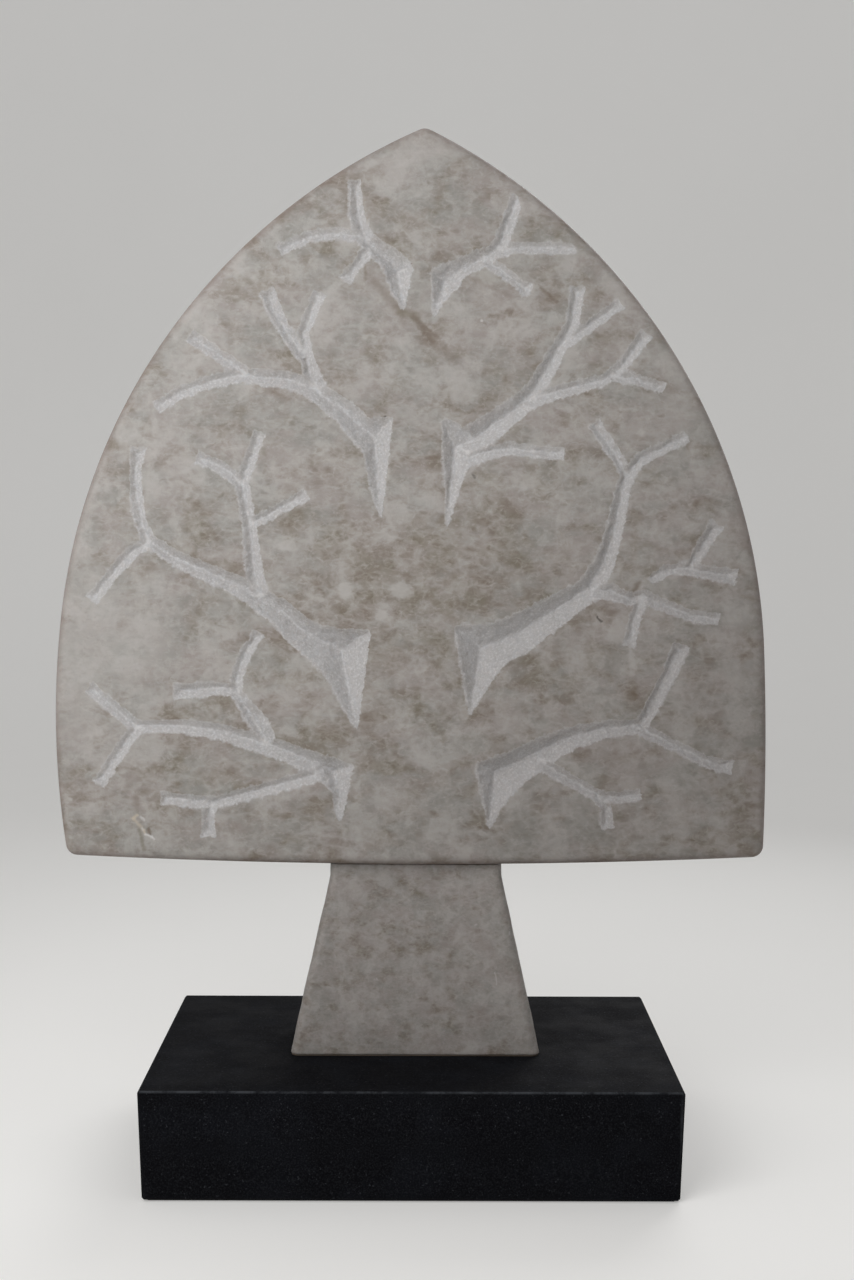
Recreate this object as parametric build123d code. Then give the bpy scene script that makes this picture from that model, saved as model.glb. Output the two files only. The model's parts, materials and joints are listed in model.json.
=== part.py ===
from build123d import *
from dataclasses import dataclass
from math import hypot, sqrt
import os

# A carved stone tree: a pointed slab, its branches cut into the front as V grooves, on a
# tapered trunk, on a sawn block. Millimetres, +Z up, the front towards -Y. The origin lies
# under the middle of the crown, on the surface that the tree stands on.

# ---- Plinth and felt ----
plinth_width = 300.0
plinth_depth = 200.0
plinth_height = 61.5
plinth_undercut = 1.9          # each side of the foot stands this far inside the top
plinth_arris = 1.2
plinth_offset = 1.2            # how far right of the crown's middle it stands
felt_thickness = 1.0
felt_inset = 3.0

# ---- Trunk ----
trunk_foot_width = 146.2
trunk_foot_depth = 68.0
trunk_top_width = 100.8
trunk_top_depth = 46.0
trunk_height = 110.5
trunk_neck_height = 7.5        # the upright part at the top
trunk_corner = 5.0
trunk_offset = 2.9
bed_inset = 1.0                # the resin stands back from the stone's edge
trunk_bed_thickness = 0.5
crown_bed_thickness = 1.0

# ---- Crown: each side is two arcs, tangent at its shoulder, and the sides meet at the apex ----
crown_width = 411.8
crown_height = 422.5
crown_thickness = 66.0
crown_bow = 5.0                # rise of the underside from its middle to its corners
crown_front_round = 6.0
crown_back_chamfer = 3.5
apex_offset = 6.9              # how far right of the crown's middle the apex stands
apex_round = 7.5
corner_round = 7.0
left_belly_height = 83.5
left_foot_radius = 508.0
left_shoulder_height = 147.0
right_belly_height = 53.4
right_foot_radius = 1495.0
right_shoulder_height = 125.7

# ---- Branches ----
groove_steepness = 0.85        # depth of a groove for each unit of its mean flank
tip_bevel = 0.9                # length of a tip's end facet for each unit of its mean flank
cutter_rise = 2.0              # how far the cutter stands out of the front face
smallest_facet = 1e-6          # a cutter's facets smaller than this are left out

# ---- Dowels between trunk and crown ----
pin_diameter = 12.0
pin_into_trunk = 45.0
pin_into_crown = 60.0
pin_spacing = 50.0

# ---- Threaded rods between plinth and trunk, M12 with washer and nut ----
stud_diameter = 12.0
stud_into_trunk = 42.0
stud_spacing = 84.0
stud_end_length = 3.0          # thread that shows past the nut
stud_hole_clearance = 0.5
washer_diameter = 24.0
washer_thickness = 2.5
washer_bore_clearance = 0.5
nut_across_flats = 18.0
nut_height = 10.8
counterbore_clearance = 4.0    # round the washer, for the socket wrench
counterbore_room = 4.0         # below the end of the rod
resin_gap = 1.0                # round every pin and rod, and past its end

# ---- Heights that follow ----
plinth_base = felt_thickness
plinth_top = plinth_base + plinth_height
trunk_base = plinth_top + trunk_bed_thickness
trunk_top = trunk_base + trunk_height
crown_base = trunk_top + crown_bed_thickness
counterbore_depth = (counterbore_room + stud_end_length + nut_height + washer_thickness)
washer_top = plinth_base + counterbore_depth


@dataclass
class Branch:
    """One bough and its twigs. Places are (x, z), with z from the crown's lowest point.

    The root is a facet on the trunk's line: from upper, down to lower, with heart its deepest
    point. heel is the rim between lower and the bough's first station, all cut from heart.
    A station is (x, z, left, right): a point of the valley line and the widths of its flanks
    on the left and right of the way outwards. runs[0] is the bough, which starts at heart.
    """

    upper: tuple
    heart: tuple
    lower: tuple
    heel: list
    runs: list


TOP_LEFT = Branch(
    upper=(0, 343.5), heart=(-8, 341), lower=(-5, 318.5), heel=[(-10, 326.5)],
    runs=[
        [(-13, 347, 5.3, 7.1), (-24, 356, 4.7, 5.3), (-28, 363, 5.3, 4.1), (-30.5, 372, 5.3, 2.9),
         (-32, 391, 3.5, 1.8)],
        [(-24, 356, 3.5, 3.5), (-32, 361, 2.9, 2.9), (-45, 362, 2.9, 2.9), (-59, 360, 2.9, 2.9),
         (-75, 353, 2.9, 2.9)],
        [(-24, 354, 2.9, 2.9), (-38, 336, 2.9, 2.9)],
    ],
)
TOP_RIGHT = Branch(
    upper=(11, 341.5), heart=(18.5, 335.5), lower=(12, 315), heel=[(16.5, 321.5)],
    runs=[
        [(28, 343, 5.3, 5.3), (49, 353.5, 4.1, 4.1), (60, 384, 3.5, 3.5)],
        [(47, 353, 2.9, 2.9), (62, 354.5, 2.9, 2.9), (93, 354.5, 2.6, 2.9)],
        [(40, 348, 2.9, 2.9), (52, 341, 2.6, 2.9), (62, 333, 2.6, 2.9), (67, 330, 4.1, 4.1)],
    ],
)
UPPER_LEFT = Branch(
    upper=(-11, 258.5), heart=(-21.5, 247.5), lower=(-17.5, 201), heel=[(-23.5, 218.5), (-26.5, 237)],
    runs=[
        [(-30, 254, 8.2, 6.5), (-38, 262, 7.1, 5.9), (-57, 275, 5.3, 4.7), (-71, 280, 4.7, 4.1),
         (-98, 282, 3.5, 3.5), (-116, 278, 3.2, 3.2), (-132, 272, 3.2, 3.2), (-145, 264, 2.9, 2.9)],
        [(-94, 283, 2.9, 2.9), (-126, 304, 3.2, 3.2)],
        [(-53, 273, 4.7, 4.7), (-58, 283, 4.1, 4.7), (-62, 305, 3.5, 2.9), (-53, 328, 2.9, 2.9)],
        [(-61, 292, 3.5, 3.5), (-75, 312, 3.5, 3.5), (-83, 329, 3.5, 4.1)],
    ],
)
UPPER_RIGHT = Branch(
    upper=(17, 257), heart=(25, 241.5), lower=(20.5, 195.5), heel=[(25, 211.5), (30.5, 226.5)],
    runs=[
        [(35, 246, 7.7, 8.2), (61, 265, 5.9, 5.9), (71, 275, 5.3, 4.7), (91, 311, 3.5, 3.5),
         (94, 332, 3.5, 3.5)],
        [(84, 299, 2.9, 3.5), (118, 323, 2.6, 2.6)],
        [(63, 267, 4.1, 4.7), (77, 272, 3.5, 4.1), (109, 280, 2.9, 2.9), (119, 287, 2.9, 2.9),
         (133, 306, 3.5, 3.5)],
        [(114, 282, 2.6, 2.6), (127, 281, 2.6, 2.6), (143, 276, 2.4, 2.4)],
        [(30, 235, 5.3, 5.3), (42, 239, 3.5, 4.1), (56, 241, 2.9, 2.9), (86, 238, 2.9, 2.9)],
    ],
)
MIDDLE_LEFT = Branch(
    upper=(-24, 136.5), heart=(-41, 124), lower=(-31, 79.5), heel=[(-38.5, 91), (-45.5, 104.5)],
    runs=[
        [(-46, 128, 15.9, 10.6), (-54, 131, 11.8, 8.8), (-65, 138, 9.4, 7.1), (-74, 147, 8.2, 6.5),
         (-97, 161, 5.3, 5.3), (-136, 178, 3.8, 4.1), (-151, 188, 3.5, 4.1), (-155, 199, 3.5, 2.9),
         (-157.5, 215, 3.2, 2.9), (-158, 228, 2.9, 2.9), (-156, 240, 3.8, 3.8)],
        [(-150, 187, 2.9, 3.5), (-159, 182, 3.5, 2.9), (-168, 173, 3.2, 3.2), (-183, 154, 2.9, 2.9)],
        [(-86, 155, 5.3, 4.7), (-90, 168, 4.7, 4.7), (-93, 198, 3.5, 3.5), (-97, 221, 3.5, 3.5),
         (-87, 249, 2.9, 2.9)],
        [(-93, 197, 2.9, 2.9), (-61, 214, 2.6, 2.6)],
        [(-96, 217, 2.9, 2.9), (-102, 225, 3.2, 3.2), (-111, 231, 3.2, 3.2), (-122, 235, 2.9, 2.9)],
    ],
)
MIDDLE_RIGHT = Branch(
    upper=(25, 139), heart=(40.5, 126), lower=(34, 87.5), heel=[(40, 98), (45.5, 107)],
    runs=[
        [(51, 130, 11.8, 11.8), (62, 135, 11.2, 11.2), (101, 160, 6.5, 6.5), (110, 174, 5.9, 5.9),
         (116, 191, 5.3, 4.1), (122, 223, 3.5, 3.5), (130, 235, 3.5, 3.5), (156, 248, 2.6, 2.9)],
        [(123, 226, 2.9, 2.9), (117, 237, 2.9, 2.9), (104, 255, 2.9, 3.5)],
        [(104, 160, 4.7, 5.3), (115, 160, 4.1, 4.7), (125, 155, 3.5, 3.5), (133, 157, 3.5, 3.5),
         (160, 146, 2.9, 2.9), (176, 144, 2.6, 2.9)],
        [(133, 156, 2.9, 2.9), (129, 146, 2.9, 2.9), (125, 129, 3.5, 2.9)],
        [(138, 167, 2.1, 2.1), (147, 172, 2.9, 2.9), (157, 173, 2.9, 2.9), (186, 168, 4.1, 3.8)],
        [(160, 174, 2.9, 2.9), (175, 198, 3.8, 3.8)],
    ],
)
LOW_LEFT = Branch(
    upper=(-33.5, 58.5), heart=(-45, 53.5), lower=(-40, 26.5), heel=[(-42.5, 40)],
    runs=[
        [(-52, 58, 5.9, 6.5), (-76, 68, 5.3, 4.7), (-110, 78, 4.1, 4.1), (-133, 81, 3.5, 3.5),
         (-159, 81, 3.5, 3.5), (-185, 103, 3.2, 3.2)],
        [(-156, 81, 2.9, 2.9), (-163, 74, 3.5, 2.9), (-180, 48, 3.2, 3.2)],
        [(-83, 72, 4.1, 5.9), (-92, 86, 3.5, 6.5), (-101, 101, 3.5, 3.5), (-100, 110, 3.2, 3.2),
         (-96, 122, 3.2, 3.2), (-88, 134, 2.9, 2.4)],
        [(-99, 101, 2.9, 2.9), (-109, 103, 3.2, 3.2), (-136, 101, 4.1, 4.1)],
        [(-50, 55, 4.7, 4.7), (-57, 52, 3.5, 3.5), (-114, 36.5, 3.2, 3.2), (-144, 39, 2.9, 2.9)],
        [(-114, 38, 2.9, 2.9), (-117, 29, 2.9, 2.9), (-117, 17, 3.5, 3.5)],
    ],
)
LOW_RIGHT = Branch(
    upper=(37.5, 59.5), heart=(49.5, 54), lower=(45.5, 21.5), heel=[(52, 34), (58, 41)],
    runs=[
        [(61, 59, 8.8, 11.2), (76, 67, 7.7, 8.2), (92, 75, 5.9, 6.5), (112, 80, 4.7, 4.7),
         (133, 82, 4.1, 4.1), (148, 112, 3.5, 4.1), (156, 129, 4.7, 4.7)],
        [(132, 81, 2.9, 3.5), (172, 61, 2.9, 2.9), (185, 58, 3.5, 3.5)],
        [(72, 63, 4.7, 5.9), (81, 57, 3.5, 4.1), (109, 41, 2.9, 2.9), (120, 40, 2.9, 2.6),
         (132, 42, 2.9, 2.9)],
        [(108, 41, 2.9, 2.9), (113, 34, 2.9, 2.9), (114, 23, 3.2, 3.2)],
    ],
)
BRANCHES = [TOP_LEFT, TOP_RIGHT, UPPER_LEFT, UPPER_RIGHT, MIDDLE_LEFT, MIDDLE_RIGHT, LOW_LEFT, LOW_RIGHT]


# ---- Crown outline ----
def direction(start, end):
    """Unit vector from one place to another."""
    length = hypot(end[0] - start[0], end[1] - start[1])
    return ((end[0] - start[0]) / length, (end[1] - start[1]) / length)


def on_arc(centre, radius, hand, height):
    """The point of a circle at this height, on its left (hand -1) or right (hand 1)."""
    return (centre[0] + hand * sqrt(radius**2 - (height - centre[1]) ** 2), height)


def side_edges(hand, belly_height, foot_radius, shoulder_height):
    """One side's foot corner and its two arcs: foot arc, then a top arc tangent to it, to the apex."""
    foot_centre = (hand * (crown_width / 2 - foot_radius), belly_height)
    corner = on_arc(foot_centre, foot_radius, hand, crown_bow)
    belly = on_arc(foot_centre, foot_radius, hand, (crown_bow + shoulder_height) / 2)
    shoulder = on_arc(foot_centre, foot_radius, hand, shoulder_height)
    inward_x, inward_z = direction(shoulder, foot_centre)
    rise_x, rise_z = apex_offset - shoulder[0], crown_height - shoulder_height
    top_radius = (rise_x**2 + rise_z**2) / (2 * (inward_x * rise_x + inward_z * rise_z))
    top_centre = (shoulder[0] + inward_x * top_radius, shoulder[1] + inward_z * top_radius)
    flank = on_arc(top_centre, top_radius, hand, (shoulder_height + crown_height) / 2)
    apex = (apex_offset, crown_height)
    return corner, [ThreePointArc(corner, belly, shoulder), ThreePointArc(shoulder, flank, apex)]


def crown_outline():
    """The crown's front face, flat in XZ, its lowest point at the origin."""
    left_corner, left_edges = side_edges(
        -1, left_belly_height, left_foot_radius, left_shoulder_height)
    right_corner, right_edges = side_edges(
        1, right_belly_height, right_foot_radius, right_shoulder_height)
    underside = ThreePointArc(left_corner, (0, 0), right_corner)
    return Plane.XZ * make_face(left_edges + right_edges + [underside])


def crown_blank():
    """The slab at its height: apex, corners and front rim rounded, the back's arris taken off."""
    slab = extrude(crown_outline(), crown_thickness / 2, both=True)
    slab = fillet(slab.edges().filter_by(Axis.Y).sort_by(Axis.Z)[-1], apex_round)
    slab = fillet(slab.edges().filter_by(Axis.Y).sort_by(Axis.Z)[:2], corner_round)
    slab = fillet(slab.faces().sort_by(Axis.Y)[0].edges(), crown_front_round)
    slab = chamfer(slab.faces().sort_by(Axis.Y)[-1].edges(), crown_back_chamfer)
    return Pos(0, 0, crown_base) * slab


# ---- Branch grooves ----
def run_sections(run):
    """(left rim, valley, right rim, depth) at each station, square to the run's mean direction."""
    ways = [direction(a, b) for a, b in zip(run, run[1:])]
    means = [ways[0]] + [direction((0, 0), (a[0] + b[0], a[1] + b[1])) for a, b in zip(ways, ways[1:])]
    sections = []
    for (x, z, left, right), (dx, dz) in zip(run, means + [ways[-1]]):
        depth = groove_steepness * (left + right) / 2
        sections.append([(x - dz * left, z + dx * left), (x, z), (x + dz * right, z - dx * right), depth])
    bevel = tip_bevel * (run[-1][2] + run[-1][3]) / 2
    sections[-1][1] = (run[-1][0] - ways[-1][0] * bevel, run[-1][1] - ways[-1][1] * bevel)
    return sections


def root_sections(branch):
    """The facet at the root and the fan of flanks between it and the bough's first station."""
    (ux, uz), (hx, hz), (lx, lz) = branch.upper, branch.heart, branch.lower
    facet = abs((hx - ux) * (lz - uz) - (hz - uz) * (lx - ux)) / hypot(lx - ux, lz - uz)
    depth = groove_steepness * facet
    outwards_left = hx < ux
    sections = []
    for rim in [branch.lower] + branch.heel:
        left, right = (rim, branch.upper) if outwards_left else (branch.upper, rim)
        sections.append([left, branch.heart, right, depth])
    return sections


def section_points(section):
    """The section's corners in space, its rims carried on past the front face."""
    left, valley, right, depth = section
    front = -crown_thickness / 2
    reach = 1 + cutter_rise / depth
    rims = [
        Vector(
            valley[0] + (rim[0] - valley[0]) * reach, front - cutter_rise,
            crown_base + valley[1] + (rim[1] - valley[1]) * reach)
        for rim in (left, right)
    ]
    return rims[0], Vector(valley[0], front + depth, crown_base + valley[1]), rims[1]


def triangle(a, b, c):
    """A flat face on three points, or None where they fall together in a line."""
    if (b - a).cross(c - a).length < smallest_facet:
        return None
    return Face(Wire.make_polygon([a, b, c]))


def groove_cutter(sections):
    """A closed solid of flat facets carried from section to section."""
    rings = [section_points(section) for section in sections]
    facets = [triangle(*rings[0]), triangle(*rings[-1])]
    for near, far in zip(rings, rings[1:]):
        lines = list(zip(near, far))
        for (a, d), (b, c) in zip(lines, lines[1:] + lines[:1]):
            facets += [triangle(a, b, c), triangle(a, c, d)]
    return Solid(Shell([facet for facet in facets if facet]))


def branch_cutters(branch):
    """One cutter for the bough with its root, and one for each twig."""
    bough, *twigs = branch.runs
    return [groove_cutter(root_sections(branch) + run_sections(bough))] + [
        groove_cutter(run_sections(twig)) for twig in twigs]


# ---- Dowels and rods ----
def pair_places(spacing):
    """Left and right places of a pair on the trunk's centre line."""
    return {"left": trunk_offset - spacing / 2, "right": trunk_offset + spacing / 2}


def rod(x, diameter, bottom, top):
    """An upright round bar."""
    return Pos(x, 0, bottom) * Cylinder(
        diameter / 2, top - bottom, align=(Align.CENTER, Align.CENTER, Align.MIN))


def pin_socket(x):
    """The drilled hole for a dowel and its resin, through trunk, bed and crown."""
    return rod(x, pin_diameter + 2 * resin_gap, trunk_top - pin_into_trunk - resin_gap,
               crown_base + pin_into_crown + resin_gap)


def stud_socket(x):
    """The drilled hole in the trunk and its bed for a rod and its resin."""
    return rod(x, stud_diameter + 2 * resin_gap, plinth_top, trunk_base + stud_into_trunk + resin_gap)


PIN_PLACES = pair_places(pin_spacing)
STUD_PLACES = pair_places(stud_spacing)
pin_sockets = [pin_socket(x) for x in PIN_PLACES.values()]
stud_sockets = [stud_socket(x) for x in STUD_PLACES.values()]


# ---- Pieces ----
def crown():
    """The carved slab, with its dowel holes."""
    cutters = [cutter for branch in BRANCHES for cutter in branch_cutters(branch)]
    return crown_blank() - cutters - pin_sockets


def trunk_sketch(width, depth, inset=0.0):
    """A level section of the trunk."""
    return Pos(trunk_offset, 0) * RectangleRounded(
        width - 2 * inset, depth - 2 * inset, trunk_corner - inset)


def trunk():
    """The tapered block and its upright neck, with holes for the dowels and the rods."""
    foot = Pos(0, 0, trunk_base) * trunk_sketch(trunk_foot_width, trunk_foot_depth)
    neck = Pos(0, 0, trunk_top - trunk_neck_height) * trunk_sketch(trunk_top_width, trunk_top_depth)
    block = loft([foot, neck], ruled=True) + extrude(neck, trunk_neck_height)
    return block - pin_sockets - stud_sockets


def crown_bed(crown_solid):
    """Resin that fills the joint between the trunk's flat top and the crown's bowed underside."""
    block = extrude(trunk_sketch(trunk_top_width, trunk_top_depth, bed_inset),
                    crown_bed_thickness + crown_bow)
    return Pos(0, 0, trunk_top) * block - crown_solid - pin_sockets


def trunk_bed():
    """Resin between the plinth and the trunk's foot."""
    block = extrude(trunk_sketch(trunk_foot_width, trunk_foot_depth, bed_inset), trunk_bed_thickness)
    return Pos(0, 0, plinth_top) * block - stud_sockets


def plinth():
    """The sawn block, a little narrower at its foot, bored and counterbored from below."""
    foot = Rectangle(plinth_width - 2 * plinth_undercut, plinth_depth - 2 * plinth_undercut)
    top = Pos(0, 0, plinth_height) * Rectangle(plinth_width, plinth_depth)
    block = loft([foot, top], ruled=True)
    block = Pos(plinth_offset, 0, plinth_base) * chamfer(block.edges(), plinth_arris)
    for x in STUD_PLACES.values():
        block -= rod(x, stud_diameter + 2 * stud_hole_clearance, plinth_base, plinth_top)
        block -= rod(x, washer_diameter + 2 * counterbore_clearance, plinth_base, washer_top)
    return block


def base_felt():
    """The felt sheet under the plinth, which hides the counterbores."""
    inset = plinth_undercut + felt_inset
    sheet = Rectangle(plinth_width - 2 * inset, plinth_depth - 2 * inset)
    return Pos(plinth_offset, 0, 0) * extrude(sheet, felt_thickness)


def crown_pin(x):
    """A dowel between trunk and crown."""
    return rod(x, pin_diameter, trunk_top - pin_into_trunk, crown_base + pin_into_crown)


def trunk_stud(x):
    """A threaded rod from below the nut up into the trunk."""
    bottom = washer_top - washer_thickness - nut_height - stud_end_length
    return rod(x, stud_diameter, bottom, trunk_base + stud_into_trunk)


def stud_washer(x):
    """A flat washer against the roof of the counterbore."""
    disc = rod(x, washer_diameter, washer_top - washer_thickness, washer_top)
    bore = rod(x, stud_diameter + 2 * washer_bore_clearance, washer_top - washer_thickness, washer_top)
    return disc - bore


def stud_nut(x):
    """A hexagon nut under the washer."""
    top = washer_top - washer_thickness
    hexagon = RegularPolygon(nut_across_flats / 2, 6, major_radius=False)
    body = Pos(x, 0, top - nut_height) * extrude(hexagon, nut_height)
    return body - rod(x, stud_diameter, top - nut_height, top)


def export_pieces():
    """Write each piece to its own file."""
    crown_solid = crown()
    pieces = {
        "crown": crown_solid,
        "crown_bed": crown_bed(crown_solid),
        "trunk": trunk(),
        "trunk_bed": trunk_bed(),
        "plinth": plinth(),
        "base_felt": base_felt(),
    }
    for side, x in PIN_PLACES.items():
        pin = crown_pin(x)
        pieces[f"crown_pin_{side}"] = pin
        pieces[f"crown_pin_resin_{side}"] = pin_socket(x) - pin
    for side, x in STUD_PLACES.items():
        stud = trunk_stud(x)
        pieces[f"trunk_stud_{side}"] = stud
        pieces[f"trunk_stud_resin_{side}"] = stud_socket(x) - stud
        pieces[f"stud_washer_{side}"] = stud_washer(x)
        pieces[f"stud_nut_{side}"] = stud_nut(x)
    for name, piece in pieces.items():
        export_step(piece, f"parts/{name}.step")


os.makedirs("parts", exist_ok=True)
export_pieces()
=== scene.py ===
"""Surfaces and finishes of the carved stone tree, its trunk, its black block and its hidden fittings."""

import json
import logging
import math
from dataclasses import dataclass
from enum import Enum
from typing import Iterable, Iterator, Sequence

import bpy
import numpy as np
from mathutils import Matrix, Vector
from mathutils.geometry import delaunay_2d_cdt


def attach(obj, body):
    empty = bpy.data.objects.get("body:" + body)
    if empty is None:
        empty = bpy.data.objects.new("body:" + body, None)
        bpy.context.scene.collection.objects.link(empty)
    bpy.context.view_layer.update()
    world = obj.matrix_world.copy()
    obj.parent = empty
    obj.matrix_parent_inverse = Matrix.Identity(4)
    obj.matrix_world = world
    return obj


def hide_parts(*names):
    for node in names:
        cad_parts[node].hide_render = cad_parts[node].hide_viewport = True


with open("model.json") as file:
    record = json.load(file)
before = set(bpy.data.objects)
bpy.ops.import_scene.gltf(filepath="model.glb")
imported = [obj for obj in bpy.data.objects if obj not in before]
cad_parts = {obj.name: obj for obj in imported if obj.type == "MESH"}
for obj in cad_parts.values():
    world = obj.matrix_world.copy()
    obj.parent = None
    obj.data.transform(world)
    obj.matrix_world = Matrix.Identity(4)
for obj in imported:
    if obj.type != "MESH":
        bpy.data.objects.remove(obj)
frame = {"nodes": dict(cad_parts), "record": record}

Socket = bpy.types.NodeSocket

LOG = logging.getLogger("stone_tree")
MM = 0.001
TINY = 1e-12  # keeps a division from a length of 0


# ---------------------------------------------------------------- numbers and meshes


def smooth_step(low: float, high: float, value: np.ndarray) -> np.ndarray:
    """Cubic ease: 0 below low, 1 above high, 3t^2 - 2t^3 between, with t the share of the way.

    Args:
        low: Value at which the ease leaves 0.
        high: Value at which it reaches 1.
        value: Values to ease.

    Returns:
        The eased values, shaped as value.
    """
    share = np.clip((value - low) / (high - low), 0.0, 1.0)
    return share * share * (3.0 - 2.0 * share)


@dataclass(frozen=True)
class Ripple:
    """Smooth unevenness: a sum of plane waves, sin(k . p + phase), in seeded directions."""

    wavelength: float
    seed: int
    spread: float = 0.45
    waves: int = 14

    def at(self, points: np.ndarray) -> np.ndarray:
        """The unevenness at points of two or three coordinates, about -1 to 1.

        Args:
            points: Array of shape (n, 2) or (n, 3), in millimetres.

        Returns:
            Array of shape (n,).
        """
        rng = np.random.default_rng(self.seed)
        ways = rng.normal(size=(self.waves, points.shape[1]))
        ways /= np.linalg.norm(ways, axis=1, keepdims=True)
        lengths = self.wavelength * (1.0 + self.spread * rng.uniform(-1.0, 1.0, self.waves))
        phases = rng.uniform(0.0, 2.0 * math.pi, self.waves)
        turns = points @ (ways * (2.0 * math.pi / lengths)[:, None]).T + phases
        return np.sin(turns).sum(axis=1) / math.sqrt(self.waves)


Swell = tuple[tuple[float, Ripple], ...]


def swell_at(swell: Swell, points: np.ndarray) -> np.ndarray:
    """Sum of a swell's ripples at points, each times its height in millimetres."""
    return sum(height * ripple.at(points) for height, ripple in swell)


def ring_faces(rows: int, columns: int, start: int = 0) -> np.ndarray:
    """Quads of a grid whose columns close into a ring; they face along column direction x row direction.

    Args:
        rows: Number of rings.
        columns: Vertices in each ring.
        start: Index of the first vertex.

    Returns:
        Array of shape ((rows - 1) * columns, 4) of vertex indices.
    """
    row, column = np.meshgrid(np.arange(rows - 1), np.arange(columns), indexing="ij")
    after = (column + 1) % columns
    quads = np.stack([
        row * columns + column, row * columns + after,
        (row + 1) * columns + after, (row + 1) * columns + column], axis=-1)
    return quads.reshape(-1, 4) + start


def make_piece(name: str, points: np.ndarray, faces: Iterable[Sequence[int]]) -> bpy.types.Object:
    """A smooth-shaded piece from points in millimetres.

    Args:
        name: The piece's name.
        points: Array of shape (n, 3), in millimetres in the row frame.
        faces: Vertex indices of each face, anticlockwise seen from outside.

    Returns:
        The linked object, at the origin.
    """
    mesh = bpy.data.meshes.new(name)
    mesh.from_pydata((points * MM).tolist(), [], [list(map(int, face)) for face in faces])
    mesh.polygons.foreach_set("use_smooth", np.ones(len(mesh.polygons), bool))
    mesh.update()
    piece = bpy.data.objects.new(name, mesh)
    bpy.context.scene.collection.objects.link(piece)
    return piece


def add_shares(piece: bpy.types.Object, shares: dict[str, np.ndarray]) -> None:
    """Writes each named array, one number per vertex, for the finishes to read."""
    for name, values in shares.items():
        piece.data.attributes.new(name, "FLOAT", "POINT").data.foreach_set("value", values)


def node_triangles(name: str) -> np.ndarray:
    """A CAD node's triangles.

    Args:
        name: The node's name.

    Returns:
        Array of shape (n, 3 corners, 3 coordinates), in millimetres.
    """
    mesh = frame["nodes"][name].data
    mesh.calc_loop_triangles()
    places = np.empty(len(mesh.vertices) * 3)
    mesh.vertices.foreach_get("co", places)
    corners = np.empty(len(mesh.loop_triangles) * 3, dtype=np.int32)
    mesh.loop_triangles.foreach_get("vertices", corners)
    return places.reshape(-1, 3)[corners].reshape(-1, 3, 3) / MM


def unit(vectors: np.ndarray) -> np.ndarray:
    """Vectors of shape (n, 3) brought to a length of 1."""
    return vectors / (np.linalg.norm(vectors, axis=1, keepdims=True) + TINY)


# ---------------------------------------------------------------- finishes


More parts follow.
